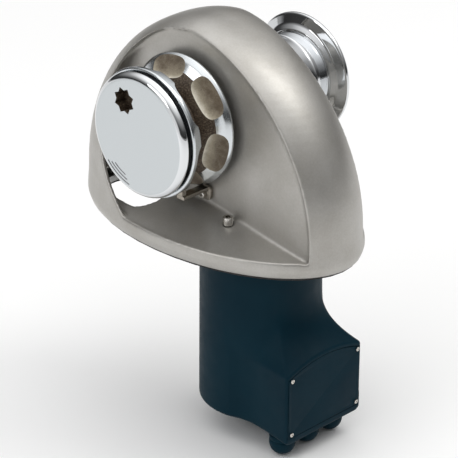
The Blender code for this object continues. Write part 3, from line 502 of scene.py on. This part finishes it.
def groove_casting_and_shade():
    """Dark brown casting that stands partly for shade: in the gypsy's groove it is painted shade of the deep
    groove over the casting's colour, in the star socket's inside it is painted shade alone.
    """
    finish = Finish("groove_casting_and_shade_look", (0.08, 0.055, 0.04), 0.3, 0.5)
    speck = finish.noise(800.0, 4.0)
    dark, brown, pale = (0.03, 0.02, 0.014), (0.11, 0.08, 0.055), (0.3, 0.26, 0.2)
    finish.colour(finish.ramp(speck, (0.36, dark), (0.6, brown), (0.75, pale)))
    finish.rough(200.0, 0.35, 0.6)
    finish.bump(finish.noise(500.0, 3.0), 0.3, 0.8)
    return finish.material


def shaded_steel():
    """Near-black steel in the narrow gap behind the clutch's lip: painted shade of the deep gap."""
    finish = Finish("shaded_steel_look", (0.01, 0.01, 0.012), 0.4, 0.5)
    tone = finish.noise(200.0)
    finish.colour(finish.ramp(tone, (0.35, (0.006, 0.006, 0.008)), (0.65, (0.016, 0.016, 0.018))))
    finish.rough(200.0, 0.4, 0.6)
    return finish.material


def stainless():
    finish = Finish("stainless_look", (0.62, 0.6, 0.565), 1.0, 0.24)
    finish.rough(300.0, 0.16, 0.3, (1.0, 1.0, 0.15))
    finish.bump(finish.noise(1200.0, 2.0, stretch=(1.0, 1.0, 0.1)), 0.01, 0.3)
    return finish.material


def dull_stainless():
    """The stripper's cast stainless, duller and browner than the screws."""
    finish = Finish("dull_stainless_look", (0.36, 0.33, 0.285), 1.0, 0.34)
    finish.rough(260.0, 0.26, 0.42)
    finish.bump(finish.noise(900.0, 2.0), 0.03, 0.4)
    return finish.material


def steel():
    finish = Finish("steel_look", (0.36, 0.36, 0.37), 1.0, 0.33)
    finish.rough(260.0, 0.26, 0.42)
    finish.bump(finish.noise(900.0, 2.0, stretch=(1.0, 1.0, 0.08)), 0.02, 0.3)
    return finish.material


def cast_alloy():
    finish = Finish("cast_alloy_look", (0.46, 0.46, 0.455), 0.85, 0.5)
    tone = finish.noise(60.0, 3.0)
    finish.colour(finish.ramp(tone, (0.35, (0.41, 0.41, 0.405)), (0.65, (0.5, 0.5, 0.49))))
    finish.rough(120.0, 0.42, 0.58)
    finish.bump(finish.noise(800.0, 3.0), 0.06, 0.5)
    return finish.material


def bronze():
    finish = Finish("bronze_look", (0.55, 0.34, 0.14), 1.0, 0.34)
    tone = finish.noise(80.0, 3.0)
    finish.colour(finish.ramp(tone, (0.35, (0.48, 0.28, 0.11)), (0.65, (0.6, 0.38, 0.16))))
    finish.rough(200.0, 0.28, 0.42)
    return finish.material


def copper():
    finish = Finish("copper_look", (0.6, 0.26, 0.13), 1.0, 0.36)
    tone = finish.noise(90.0, 3.0)
    finish.colour(finish.ramp(tone, (0.35, (0.5, 0.2, 0.1)), (0.65, (0.66, 0.3, 0.16))))
    finish.bump(finish.noise(700.0, 1.0, stretch=(1.0, 1.0, 0.05)), 0.08, 0.4)
    return finish.material


def dark_plastic():
    """Moulded dark blue-black plastic with a fine spark-eroded texture."""
    finish = Finish("dark_plastic_look", (0.001, 0.018, 0.03), 0.0, 0.5)
    finish.shader.inputs["Specular IOR Level"].default_value = 0.08
    tone = finish.noise(14.0, 3.0)
    finish.colour(finish.ramp(tone, (0.35, (0.0008, 0.0164, 0.028)), (0.65, (0.0014, 0.0205, 0.0335))))
    finish.rough(90.0, 0.45, 0.56)
    finish.bump(finish.noise(1700.0, 2.0), 0.05, 0.45)
    return finish.material


def black_rubber():
    finish = Finish("black_rubber_look", (0.012, 0.012, 0.012), 0.0, 0.75)
    tone = finish.noise(120.0, 3.0)
    finish.colour(finish.ramp(tone, (0.35, (0.009, 0.009, 0.009)), (0.65, (0.017, 0.017, 0.017))))
    finish.rough(200.0, 0.66, 0.82)
    finish.bump(finish.noise(900.0, 3.0), 0.05, 0.4)
    return finish.material


MATERIALS = {
    "satin_silver": satin_silver(),
    "chrome": chrome(),
    "cast_alloy": cast_alloy(),
    "stainless": stainless(),
    "steel": steel(),
    "bronze": bronze(),
    "copper": copper(),
    "dark_plastic": dark_plastic(),
    "black_rubber": black_rubber(),
}
SATIN_CHROME = satin_chrome()
GYPSY_CHROME = gypsy_chrome()
RAW_CASTING_AND_SHADE = raw_casting_and_shade()
GROOVE_CASTING_AND_SHADE = groove_casting_and_shade()
SHADED_STEEL = shaded_steel()
DULL_STAINLESS = dull_stainless()


def dress_cad_nodes():
    """Every CAD node, shown or not, gets the procedural material of its slot."""
    for entry in frame["record"]["subparts"]:
        for slot in frame["nodes"][entry["node"]].material_slots:
            slot.material = MATERIALS[entry["material_slot"]]


# The cover


def crown_height(y, inset):
    """Height of the dome's ridge at this distance from its middle plane."""
    rise = DOME_TOP - inset - DOME_SPRING
    share = min(abs(y) / (SPRING_HALF_WIDTH - inset), 1.0)
    return DOME_SPRING + rise * math.sqrt(1 - share**CROWN_FULLNESS)


def half_length_at(y, inset):
    """Half the dome's length in its spring plane, at this distance from its middle plane."""
    share = min(abs(y) / (SPRING_HALF_WIDTH - inset), 1.0)
    return (SPRING_HALF_LENGTH - inset) * math.sqrt(1 - share**2)


def dome_lean(z):
    """How far the dome's middle has moved along x at this height: it leans to the stern."""
    return -DOME_LEAN * (max(z, 0.0) / DOME_TOP) ** 2


def inside_dome(x, y, z, inset):
    rise = crown_height(y, inset) - DOME_SPRING
    share = (z - DOME_SPRING) / rise if rise > 1e-6 else 2.0
    if share > 1:
        return False
    reach = half_length_at(y, inset) * (1 - max(share, 0.0) ** 2) ** (1 / DOME_FULLNESS)
    return abs(x - dome_lean(z)) < reach


def dome_point(direction, inset):
    """Where a ray from the spring plane's centre leaves the dome, found by halving."""
    near, far = 0.0, 2 * BASE_HALF_LENGTH
    for _ in range(26):
        middle = (near + far) / 2
        spot = direction * middle
        if inside_dome(spot.x, spot.y, spot.z + DOME_SPRING, inset):
            near = middle
        else:
            far = middle
    return (direction.x * near, direction.y * near, direction.z * near + DOME_SPRING)


def dome(name, inset, bottom):
    """The domed solid, `inset` inside the cover's outer skin."""
    flat = (SPRING_HALF_WIDTH - inset) / (SPRING_HALF_LENGTH - inset)
    sections = []
    for z, growth in ((bottom, 0.0), (BELLY_Z, BELLY)):
        plan = ellipse(BASE_HALF_LENGTH + growth - inset, BASE_HALF_WIDTH + growth - inset, DOME_AROUND)
        sections.append([(x, y, z) for x, y in plan])
    for level in range(DOME_UPWARD):
        latitude = math.radians(88.5) * level / (DOME_UPWARD - 1)
        across = math.cos(latitude)
        section = []
        for step in range(DOME_AROUND):
            longitude = 2 * math.pi * step / DOME_AROUND
            x = across * math.cos(longitude)
            y = across * math.sin(longitude) * flat
            section.append(dome_point(Vector((x, y, math.sin(latitude))), inset))
        sections.append(section)
    return stacked(name, sections)


def base_half_width_at(x):
    return BASE_HALF_WIDTH * math.sqrt(max(1 - (x / BASE_HALF_LENGTH) ** 2, 0.0))


def ledge_height(x, y):
    """The pocket's floor: it falls towards the bow along the wall, and outwards to the rim."""
    at_wall = LEDGE_HEIGHT - LEDGE_FALL * max(x - LEDGE_FALLS_FROM, 0.0)
    share = (abs(y) - WALL_Y) / max(base_half_width_at(x) - WALL_Y, LEDGE_LEAST_WIDTH)
    return at_wall + (RIM_HEIGHT - at_wall) * min(max(share, 0.0), 1.0)


def ledge_solid(side, wall_y, drop, far_z):
    """Everything above the ledge (far_z over it) or below it (far_z under it), outside the wall."""
    stations = [LEDGE_REACH * (2 * step / LEDGE_STEPS - 1) for step in range(LEDGE_STEPS + 1)]
    outer_y = BASE_HALF_WIDTH + 20.0
    sections = []
    for x in stations:
        ledge_width = max(base_half_width_at(x) - WALL_Y, LEDGE_LEAST_WIDTH)
        widths = [wall_y] + [WALL_Y + ledge_width * share for share in (0.25, 0.5, 0.75, 1.0)] + [outer_y]
        section = [(x, side * width, ledge_height(x, width) - drop) for width in widths]
        section += [(x, side * outer_y, far_z), (x, side * wall_y, far_z)]
        sections.append(section)
    return stacked("ledge", sections)


def lip_point(angle):
    """A point of the pocket's aft lip, between two stations of its curve."""
    for (first, low), (last, high) in zip(LIP_CURVE, LIP_CURVE[1:]):
        if angle <= last:
            radius = low + (high - low) * (angle - first) / (last - first)
            return polar((SHAFT[0], SHAFT[2]), radius, angle)
    return polar((SHAFT[0], SHAFT[2]), LIP_CURVE[-1][1], LIP_CURVE[-1][0])


def pocket_outline():
    """Side view of a pocket's mouth: the crown's arch at the bow and the curved lip round the gypsy aft."""
    foot = -5.0
    arch_steps = 36
    lip_steps = 8
    rise = crown_height(CROWN_HALF_WIDTH, 0.0) - DOME_SPRING
    arch = []
    for step in range(arch_steps + 1):
        share = math.sin(math.radians(90.0) * step / arch_steps)
        z = DOME_SPRING + rise * share
        reach = half_length_at(CROWN_HALF_WIDTH, 0.0) * (1 - share**2) ** (1 / DOME_FULLNESS)
        arch.append((dome_lean(z) + reach, z))
    first, last = LIP_CURVE[0][0], LIP_CURVE[-1][0]
    lip = [lip_point(first + (last - first) * step / lip_steps) for step in range(lip_steps + 1)]
    lip = softened(lip, 30.0, 4, closed=False)
    return [(arch[0][0], foot)] + arch + lip + [(lip[-1][0], foot)]


def copied(obj):
    twin = obj.copy()
    twin.data = obj.data.copy()
    bpy.context.scene.collection.objects.link(twin)
    return twin


def make_cover():
    cover = dome("cover_skin", 0.0, DECK_GAP)
    hollow = dome("hollow", SHELL, -10.0)
    wall = WALL_Y - SHELL
    keep = plate("keep", rectangle(200.0, wall), -20.0, 250.0)
    cut(cover, combine(copied(hollow), keep, "INTERSECT"))
    for side in (-1, 1):
        below = ledge_solid(side, wall - 2.0, SHELL, -30.0)
        cut(cover, combine(copied(hollow), below, "INTERSECT"))
        span = sorted((-side * (WALL_Y - 12.0), -side * 120.0))
        mouth = plate("mouth", pocket_outline(), span[0], span[1], turn=ALONG_SHAFT)
        combine(mouth, copied(hollow), "UNION")
        cut(cover, combine(mouth, ledge_solid(side, WALL_Y, 0.0, 260.0), "INTERSECT"))
        place = (COVER_SCREW[0], side * COVER_SCREW[1], 0)
        cut(cover, drill(place, SCREW_HOLE_RADIUS, 5.0, 60.0))
        cut(cover, drill(place, COUNTERBORE_RADIUS, SCREW_SEAT_Z, 60.0))
    bpy.data.objects.remove(hollow)
    cut(cover, drill(SHAFT, SHAFT_HOLE_RADIUS, -60.0, 60.0, ALONG_SHAFT))
    cut(cover, plate("chain_way", softened(CHAIN_HOLE, 9.0, 6), 8.0, 60.0))
    remeshed(cover, COVER_VOXEL, COVER_RELAXING)
    dressed(cover, "hull", MATERIALS["satin_silver"], ["cover"], 60.0)


def socket_screw(name, at, turn, head_radius, head_height, shank_radius, shank_length):
    """A socket-head screw with a hexagon socket; its head sits on local z = 0."""
    profile = [(-shank_length, 0.0), (-shank_length, shank_radius), (0.0, shank_radius), (0.0, head_radius)]
    profile += [(head_height, head_radius), (head_height, 0.0)]
    head = turned(name, softened(profile, 0.7, 3, closed=False), 40, at, turn)
    corner = head_radius * 0.55
    socket = plate("socket", ellipse(corner, corner, 6), head_height * 0.4, 20.0, at, turn)
    return cut(head, socket)


def make_cover_screws():
    for name, side in (("cover_screw_chain_side", -1), ("cover_screw_rope_side", 1)):
        at = (COVER_SCREW[0], side * COVER_SCREW[1], SCREW_SEAT_Z + 0.3)
        piece = socket_screw(name + "_skin", at, UPRIGHT, 4.7, 7.5, 3.0, SCREW_SEAT_Z - 9.0)
        dressed(piece, "hull", MATERIALS["stainless"], [name])


# The gypsy and its clutch


def gypsy_profile(groove_radius):
    """From the inner cone's seat, over the two flanges and the groove, to the outer cone's seat."""
    seat = STEP_S - 0.4
    back = [(53.0, GYPSY_BORE), (53.0, SEAT_RADIUS), (40.0, SEAT_RADIUS + 13.0 * CONE_SLOPE)]
    back += [(40.0, GYPSY_RADIUS - 1.4), (41.2, GYPSY_RADIUS), (43.0, GYPSY_RADIUS)]
    back += [(47.4, 57.0), (51.5, 49.5)]
    groove = [(GROOVE_S - 4.4, groove_radius + 2.0), (GROOVE_S - 4.0, groove_radius)]
    groove += [(GROOVE_S + 4.0, groove_radius), (GROOVE_S + 4.4, groove_radius + 2.0)]
    front = [(74.4, 49.5), (76.6, 55.0), (78.2, 58.4), (86.4, 59.0), (FLANGE_S, 57.8)]
    front += [(FLANGE_S, STEP_RADIUS + 0.5), (seat, STEP_RADIUS + 0.5)]
    front += [(seat, SEAT_RADIUS + CONE_DEPTH * CONE_SLOPE)]
    front += [(seat - CONE_DEPTH, SEAT_RADIUS), (seat - CONE_DEPTH, GYPSY_BORE)]
    return back + groove + front


def link_pocket(angle, pitch_radius):
    """A rounded recess for one flat chain link, open outwards, with its floor's edge rounded."""
    outline = softened(rectangle(POCKET_HALF_WIDTH, POCKET_HALF_LENGTH), 14.0, 8)
    floor = pitch_radius - 4.5
    sections = []
    for rise, scale in POCKET_FLARE:
        radius = floor + rise
        section = []
        for along, across in outline:
            x = radius * math.cos(angle) - across * scale * math.sin(angle)
            y = radius * math.sin(angle) + across * scale * math.cos(angle)
            section.append((x, y, GROOVE_S + along * scale))
        sections.append(section)
    pocket = stacked("pocket", sections, SHAFT, ALONG_SHAFT)
    # The pocket's faces take the sand-cast colour with its painted shade towards the back flange
    pocket.data.materials.append(RAW_CASTING_AND_SHADE)
    return pocket


def make_gypsy():
    pitch_radius = CHAIN_PITCH * 2 * CHAIN_POCKETS / (2 * math.pi)
    groove_radius = pitch_radius - 12.0
    profile = softened(gypsy_profile(groove_radius), 1.2, 4)
    gypsy = turned("gypsy_skin", profile, SMOOTH_TURN, SHAFT, ALONG_SHAFT)
    gypsy.data.materials.append(GYPSY_CHROME)
    for pocket in range(CHAIN_POCKETS):
        angle = math.radians(GYPSY_PHASE + 360.0 * pocket / CHAIN_POCKETS)
        cut(gypsy, link_pocket(angle, pitch_radius))
    # Groove faces under the polished radius take the dark brown: casting colour darkened as painted shade of
    # the deep groove
    groove_casting_and_shade_index = len(gypsy.data.materials)
    gypsy.data.materials.append(GROOVE_CASTING_AND_SHADE)
    for polygon in gypsy.data.polygons:
        middle = polygon.center
        out = math.hypot(middle.x, middle.y)
        between_flanges = GROOVE_BACK * MM < middle.z < GROOVE_FRONT * MM
        unpolished = HUB_RADIUS * MM < out < POLISHED_FROM * MM
        if between_flanges and unpolished and polygon.material_index == 0:
            polygon.material_index = groove_casting_and_shade_index
    dressed(gypsy, "gypsy", GYPSY_CHROME, ["gypsy"])


def make_outer_cone():
    profile = [
        (STEP_S - CONE_DEPTH, SHAFT_BORE),
        (STEP_S - CONE_DEPTH, CONE_RADIUS),
        (STEP_S, CONE_RADIUS + CONE_DEPTH * CONE_SLOPE),
        (STEP_S, STEP_RADIUS),
        (LIP_S, STEP_RADIUS),
        (LIP_S, LIP_RADIUS),
        (LIP_END, LIP_RADIUS),
        (LIP_END, PLUG_RADIUS + 0.3),
        (PLUG_BACK - 1.0, PLUG_RADIUS + 0.3),
        (PLUG_BACK - 1.0, SHAFT_BORE),
    ]
    cone = turned("outer_cone_skin", softened(profile, 0.5, 3), SMOOTH_TURN, SHAFT, ALONG_SHAFT)
    cone.data.materials.append(MATERIALS["chrome"])
    # Faces inside the step radius lie in the gap behind the lip and get the near-black painted shade
    cone.data.materials.append(SHADED_STEEL)
    for polygon in cone.data.polygons:
        if math.hypot(polygon.center.x, polygon.center.y) < (STEP_RADIUS + 0.2) * MM:
            polygon.material_index = 1
    slot = [(-KEY_SLOT_HALF_WIDTH, 0.0), (KEY_SLOT_HALF_WIDTH, 0.0)]
    slot += [(KEY_SLOT_HALF_WIDTH, KEY_SLOT_TOP), (-KEY_SLOT_HALF_WIDTH, KEY_SLOT_TOP)]
    cut(cone, plate("key_slot", slot, STEP_S - 12.0, PLUG_BACK + 2.0, SHAFT, ALONG_SHAFT))
    dressed(cone, "clutch_cone", MATERIALS["chrome"], ["outer_cone"])


def star_outline():
    """The eight-pointed outline that two crossed squares make."""
    tip = HANDLE_SQUARE / math.sqrt(2)
    valley = HANDLE_SQUARE / 2 / math.cos(math.radians(22.5))
    points = []
    for step in range(16):
        radius = tip if step % 2 == 0 else valley
        angle = math.radians(22.5 * step + STAR_TURN)
        points.append((radius * math.cos(angle), radius * math.sin(angle)))
    return points


def make_clutch_cap():
    round_edge = arc((CAP_FRONT - CAP_ROUND, CAP_RADIUS - CAP_ROUND), CAP_ROUND, 78.0, 0.0, 14)
    profile = [(THREAD_TOP, 0.0), (THREAD_TOP, THREAD_RADIUS), (PLUG_BACK, THREAD_RADIUS)]
    profile += [(PLUG_BACK, PLUG_RADIUS), (CAP_BACK, PLUG_RADIUS), (CAP_BACK, round_edge[0][1])]
    profile += round_edge[1:]
    profile += [(CAP_FRONT, 24.0), (CAP_FRONT, 0.0)]
    cap = turned("clutch_cap_skin", profile, SMOOTH_TURN, SHAFT, ALONG_SHAFT)
    cap.data.materials.append(MATERIALS["chrome"])
    cap.data.materials.append(SATIN_CHROME)
    for polygon in cap.data.polygons:
        if polygon.center.z > (CAP_FRONT - 0.4) * MM:
            polygon.material_index = 1
    x, z = polar((SHAFT[0], SHAFT[2]), SOCKET_OFFSET, SOCKET_ANGLE)
    star = plate("star", star_outline(), STAR_FLOOR, CAP_FRONT + 5.0, (x, 0, z), ALONG_SHAFT)
    # The socket's inside gets the dark brown as painted shade of the recess
    star.data.materials.append(GROOVE_CASTING_AND_SHADE)
    cut(cap, star)
    cut(cap, *wave_grooves())
    dressed(cap, "clutch_nut", MATERIALS["chrome"], ["clutch_cap"], 20.0)


def wave_grooves():
    """A plain ornament near the face's lower edge: three shallow arcs one above the other."""
    grooves = []
    for radius, first, last in WAVES:
        outer = arc((0.0, 0.0), radius, first, last, 24)
        inner = arc((0.0, 0.0), radius - WAVE_WIDTH, last, first, 24)
        groove = plate("groove", outer + inner, CAP_FRONT - WAVE_DEPTH, CAP_FRONT + 2.0, SHAFT, ALONG_SHAFT)
        groove.data.materials.append(MATERIALS["steel"])
        grooves.append(groove)
    return grooves


def make_stripper():
    """A bent finger that lifts the chain out of the gypsy's groove, screwed to the pocket's wall."""
    face = WALL_Y + 0.3
    foot = softened([(5, 37.5), (19.5, 37.5), (19.5, 51.4), (5, 51.4)], 5.0, 8)
    stripper = plate("stripper_skin", foot, face, face + 3.0, turn=ALONG_SHAFT)
    arm = [(8, 47.2), (17, 47.2), (17, 50.2), (8, 50.2)]
    combine(stripper, plate("arm", arm, face + 1.5, GROOVE_S + 2.4, turn=ALONG_SHAFT), "UNION")
    finger = softened([(9.5, 48), (15, 48), (14, 60), (6, 74), (-1, 74.5), (8.5, 58)], 2.0, 4)
    combine(stripper, plate("finger", finger, GROOVE_S - 2.6, GROOVE_S + 2.2, turn=ALONG_SHAFT), "UNION")
    cut(stripper, drill((STRIPPER[0], 0, STRIPPER[1]), 2.4, 20.0, 45.0, ALONG_SHAFT))
    bevelled(stripper, 0.6)
    dressed(stripper, "hull", DULL_STAINLESS, ["chain_stripper"])
    at = (STRIPPER[0], -(WALL_Y + 3.6), STRIPPER[1])
    piece = socket_screw("stripper_screw_skin", at, ALONG_SHAFT, 3.8, 3.0, 2.0, 9.0)
    dressed(piece, "hull", MATERIALS["stainless"], ["stripper_screw"])


def make_warping_drum():
    inner_flange = [(40.0, SHAFT_BORE), (40.0, 30.0), (43.0, 53.6), (46.5, 53.6)]
    waist = [(54.0, 47.0), (68.0, 42.0), (86.6, 40.4), (87.6, 42.0)]
    flare = [(101.0, 41.8), (105.2, 46.4), (108.2, 55.6), (109.2, DRUM_RADIUS)]
    face = [(111.0, DRUM_RADIUS), (112.4, 54.8), (110.0, 22.0), (107.0, 21.0), (107.0, SHAFT_BORE)]
    # The waist's last corner only steers the curve before it, so its own seven points are left out
    outline = softened(inner_flange + waist, 3.0, 6)[:-7] + softened(flare + face, 1.6, 5)
    profile = [(-y, radius) for y, radius in outline]
    drum = turned("warping_drum_skin", profile, SMOOTH_TURN, SHAFT, ALONG_SHAFT)
    dressed(drum, "shaft", MATERIALS["chrome"], ["warping_drum"])
    washer = softened([(-110.0, 5.4), (-110.0, 19.0), (-107.3, 19.0), (-107.3, 5.4)], 0.6, 3)
    washer = turned("drum_washer_skin", washer, 96, SHAFT, ALONG_SHAFT)
    dressed(washer, "shaft", MATERIALS["stainless"], ["drum_washer"])
    at = (SHAFT[0], 110.3, SHAFT[2])
    piece = socket_screw("drum_screw_skin", at, TO_ROPE_SIDE, 8.5, 6.5, 4.2, 24.0)
    dressed(piece, "shaft", MATERIALS["stainless"], ["drum_screw"])


# The motor housing below the deck


def housing_half_section(inset):
    """Half the plan outline where the box is full size: tube, waisted side, then the box's front."""
    side = BOX_HALF_WIDTH - inset
    front = BOX_FRONT - inset
    tube = arc((MOTOR_X, 0.0), TUBE_RADIUS - inset, 180.0, 76.0, 20)
    waist = [(70.0, 49.0 - inset), (84.0, 46.0 - inset), (104.0, 47.0 - inset)]
    waist = softened([tube[-1]] + waist, 8.0, 4, closed=False)[1:]
    waist += [(front - 1.6, side), (front, side - 1.6)]
    face = [(front, side * share) for share in (0.8, 0.6, 0.4, 0.2)]
    return tube + waist + face


def housing_section(z, growth, arch_share, inset):
    """One horizontal section: growth 0 is the round tube, 1 the tube with the whole box."""
    half = housing_half_section(inset)
    points = []
    for index, (x, y) in enumerate(half):
        angle = math.radians(180.0 - 180.0 * index / len(half))
        round_x = MOTOR_X + (TUBE_RADIUS - inset) * math.cos(angle)
        round_y = (TUBE_RADIUS - inset) * math.sin(angle)
        bow_share = max(x - MOTOR_X, 0.0) / (BOX_FRONT - MOTOR_X)
        rise = BOX_ARCH * (1 - (y / BOX_HALF_WIDTH) ** 2) * arch_share * bow_share
        points.append((round_x + (x - round_x) * growth, round_y + (y - round_y) * growth, z + rise))
    front = (MOTOR_X + TUBE_RADIUS - inset) * (1 - growth) + (BOX_FRONT - inset) * growth
    points.append((front, 0.0, z + BOX_ARCH * arch_share))
    points += [(x, -y, height) for x, y, height in reversed(points[1:-1])]
    return points


def slope_share(x):
    """How far along the falling bottom this x lies: 0 below the motor, 1 at the box's front."""
    return max(x - SLOPE_FROM, 0.0) / (BOX_FRONT - SLOPE_FROM)


def sloped(section, inset):
    """The bottom falls a little towards the box's front, which stays square."""
    moved = []
    for x, y, z in section:
        share = slope_share(x)
        forward = min(x + 3.0 * share * share, BOX_FRONT - inset)
        moved.append((forward, y, z + (BOX_BOTTOM - TUBE_BOTTOM) * share))
    return moved


def housing_solid(name, inset, top):
    """The outer or the inner skin: a round tube that spreads into the terminal box below its shoulder."""
    sections = [housing_section(top, 0.0, 0.0, inset), housing_section(SHOULDER_TOP + 4.0, 0.0, 0.0, inset)]
    for step in range(1, SHOULDER_STEPS + 1):
        share = step / SHOULDER_STEPS
        z = SHOULDER_TOP + (BOX_TOP + 1.5 - SHOULDER_TOP) * share - inset
        sections.append(housing_section(z, share**SHOULDER_GROWTH * SHOULDER_FILL, share**2, inset))
    sections.append(housing_section(BOX_TOP - inset - 0.5, 1.0, 1.0, inset))
    sections.append(housing_section(BOX_MIDDLE, 1.0, 0.0, inset))
    sections.append(sloped(housing_section(SLOPE_TOP, 1.0, 0.0, inset), inset))
    sections.append(sloped(housing_section(TUBE_BOTTOM + inset + 3.0, 1.0, 0.0, inset), inset))
    sections.append(sloped(housing_section(TUBE_BOTTOM + inset, 1.0, 0.0, inset + 3.5), inset))
    return stacked(name, sections)


def lid_plate(name, grow, back, front):
    """The lid, or with `grow` the recess that holds it, across the box's front."""
    half_width = LID_HALF_WIDTH + grow
    shares = [step / 16 for step in range(-16, 17)]
    top = [(half_width * share, LID_TOP + grow + BOX_ARCH * (1 - share * share)) for share in shares]
    outline = [(-half_width, LID_BOTTOM - grow)] + top + [(half_width, LID_BOTTOM - grow)]
    sections = [[(x, y, z) for y, z in outline] for x in (back, front)]
    return stacked(name, sections)


def make_motor_housing():
    housing = housing_solid("motor_housing_skin", 0.0, HOUSING_TOP)
    cut(housing, housing_solid("inside", PLASTIC_WALL, HOUSING_TOP + 10.0))
    for y in GLAND_YS:
        cut(housing, drill((GLAND_X, y, 0), GLAND_HOLE_RADIUS, -175.0, -150.0))
    remeshed(housing, HOUSING_VOXEL, HOUSING_RELAXING)
    cut(housing, lid_plate("recess", LID_GAP, LID_BACK - LID_GAP / 2, BOX_FRONT + 5.0))
    dressed(housing, "hull", MATERIALS["dark_plastic"], ["motor_housing"], 40.0)


def make_terminal_cover():
    lid = lid_plate("terminal_cover_skin", 0.0, LID_BACK, BOX_FRONT)
    heights = (LID_TOP - 1.0, LID_BOTTOM + LID_SCREW_INSET)
    places = [(side * (LID_HALF_WIDTH - LID_SCREW_INSET), z) for z in heights for side in (-1, 1)]
    for y, z in places:
        cut(lid, drill((0, y, z), 1.4, 110.0, 140.0, ALONG_BOW))
    bevelled(lid, 0.7, 50.0)
    dressed(lid, "hull", MATERIALS["dark_plastic"], ["terminal_cover"])
    for number, (y, z) in enumerate(places, 1):
        at = (BOX_FRONT + 0.3, y, z)
        piece = socket_screw(f"lid_screw_skin_{number}", at, ALONG_BOW, 2.1, 1.2, 1.0, 3.0)
        dressed(piece, "hull", MATERIALS["stainless"], [f"terminal_cover_screw_{number}"])


def make_glands():
    top = TUBE_BOTTOM + (BOX_BOTTOM - TUBE_BOTTOM) * slope_share(GLAND_X) - GLAND_SINK
    profile = [(-20.5, 0.0), (-19.6, 4.6), (-17.4, 8.2), (-13.8, 10.8), (-9.5, 12.0), (-6.2, 12.0)]
    profile += [(-5.6, 11.2), (-4.6, 11.2), (-4.0, 12.0), (0.0, 12.0), (0.0, 8.0), (14.0, 8.0), (14.0, 0.0)]
    profile = softened(profile, 2.0, closed=False)
    for number, y in enumerate(GLAND_YS, 1):
        gland = turned(f"cable_gland_skin_{number}", profile, 64, (GLAND_X, y, top))
        dressed(gland, "hull", MATERIALS["dark_plastic"], [f"cable_gland_{number}"])


# Camera, floor and lights

CAMERA_TARGET = Vector((47.4, 0.0, 11.0)) * MM
CAMERA_DISTANCE = 2.275
CAMERA_AZIMUTH = 43.44
CAMERA_ELEVATION = 25.98
CAMERA_ROLL = 0.46
CAMERA_LENS = 202.0
AIM_RIGHT = -28.8 * MM
AIM_UP = -3.4 * MM
KEY_LAMP = (0.72, 0.89, 1.76)
LEFT_LAMP = (-0.35, -1.7, 1.0)
FLOOR_HALF_SIZE = 8000.0


def facing(location, aim, roll=0.0):
    """The matrix of a camera or lamp at a place, looking at another, turned about its own axis."""
    back = (location - aim).normalized()
    right = Vector((0.0, 0.0, 1.0)).cross(back).normalized()
    up = back.cross(right)
    turn = Matrix((right, up, back)).transposed().to_4x4()
    return Matrix.Translation(location) @ turn @ Matrix.Rotation(math.radians(roll), 4, "Z")


def make_camera():
    azimuth = math.radians(CAMERA_AZIMUTH)
    elevation = math.radians(CAMERA_ELEVATION)
    flat = math.cos(elevation)
    back = Vector((math.sin(azimuth) * flat, -math.cos(azimuth) * flat, math.sin(elevation)))
    right = Vector((math.cos(azimuth), math.sin(azimuth), 0.0))
    location = CAMERA_TARGET + back * CAMERA_DISTANCE
    aim = CAMERA_TARGET + right * AIM_RIGHT + back.cross(right) * AIM_UP
    data = bpy.data.cameras.new("camera")
    data.lens = CAMERA_LENS
    data.sensor_width = 36.0
    camera = bpy.data.objects.new("camera", data)
    camera.matrix_world = facing(location, aim, CAMERA_ROLL)
    bpy.context.scene.collection.objects.link(camera)
    bpy.context.scene.camera = camera


def make_floor():
    finish = Finish("floor_look", (0.96, 0.96, 0.96), 0.0, 0.7)
    z = CAD_BOUNDS[0][2] / MM - 0.5
    floor = plate("floor", rectangle(FLOOR_HALF_SIZE, FLOOR_HALF_SIZE), z - 20.0, z)
    floor.data.materials.append(finish.material)


def make_lamp(name, location, size, watts, colour=(1.0, 1.0, 1.0)):
    """A rectangular softbox that shines on the origin."""
    data = bpy.data.lights.new(name, "AREA")
    data.shape = "RECTANGLE"
    data.size, data.size_y = size
    data.energy = watts
    data.color = colour
    lamp = bpy.data.objects.new(name, data)
    lamp.matrix_world = facing(Vector(location), Vector(ORIGIN))
    bpy.context.scene.collection.objects.link(lamp)


def world_ramp(nodes, links, value, stops):
    """A ramp of light levels over a direction component that runs from -1 to 1."""
    place = nodes.new("ShaderNodeMapRange")
    place.inputs["From Min"].default_value = -1.0
    ramp = nodes.new("ShaderNodeValToRGB")
    fill_ramp(ramp, stops)
    links.new(value, place.inputs["Value"])
    links.new(place.outputs["Result"], ramp.inputs["Fac"])
    return ramp.outputs["Color"]


def make_world():
    """A studio room: a soft white ceiling, a darker band at eye level and a white wall on the chain side."""
    world = bpy.data.worlds.new("studio")
    world.use_nodes = True
    nodes = world.node_tree.nodes
    links = world.node_tree.links
    split = nodes.new("ShaderNodeSeparateXYZ")
    links.new(nodes.new("ShaderNodeTexCoord").outputs["Generated"], split.inputs["Vector"])
    heights = ((0.0, 0.5), (0.495, 0.35), (0.515, 0.03), (0.6, 0.06), (0.75, 0.38), (1.0, 1.75))
    wall = ((0.0, 0.85), (0.035, 0.75), (0.09, 0.0), (1.0, 0.0))
    brighter = nodes.new("ShaderNodeMath")
    brighter.operation = "MAXIMUM"
    links.new(world_ramp(nodes, links, split.outputs["Z"], heights), brighter.inputs[0])
    links.new(world_ramp(nodes, links, split.outputs["Y"], wall), brighter.inputs[1])
    links.new(brighter.outputs["Value"], nodes["Background"].inputs["Color"])
    bpy.context.scene.world = world


def make_lights():
    make_world()
    make_lamp("softbox_key", KEY_LAMP, (0.9, 0.9), 7.9, (1.0, 0.99, 0.96))
    make_lamp("softbox_left", LEFT_LAMP, (1.1, 0.6), 6.0)
    bpy.context.scene.view_settings.view_transform = "Standard"


dress_cad_nodes()
make_cover()
make_cover_screws()
make_gypsy()
make_outer_cone()
make_clutch_cap()
make_stripper()
make_warping_drum()
make_motor_housing()
make_terminal_cover()
make_glands()
make_camera()
make_floor()
make_lights()
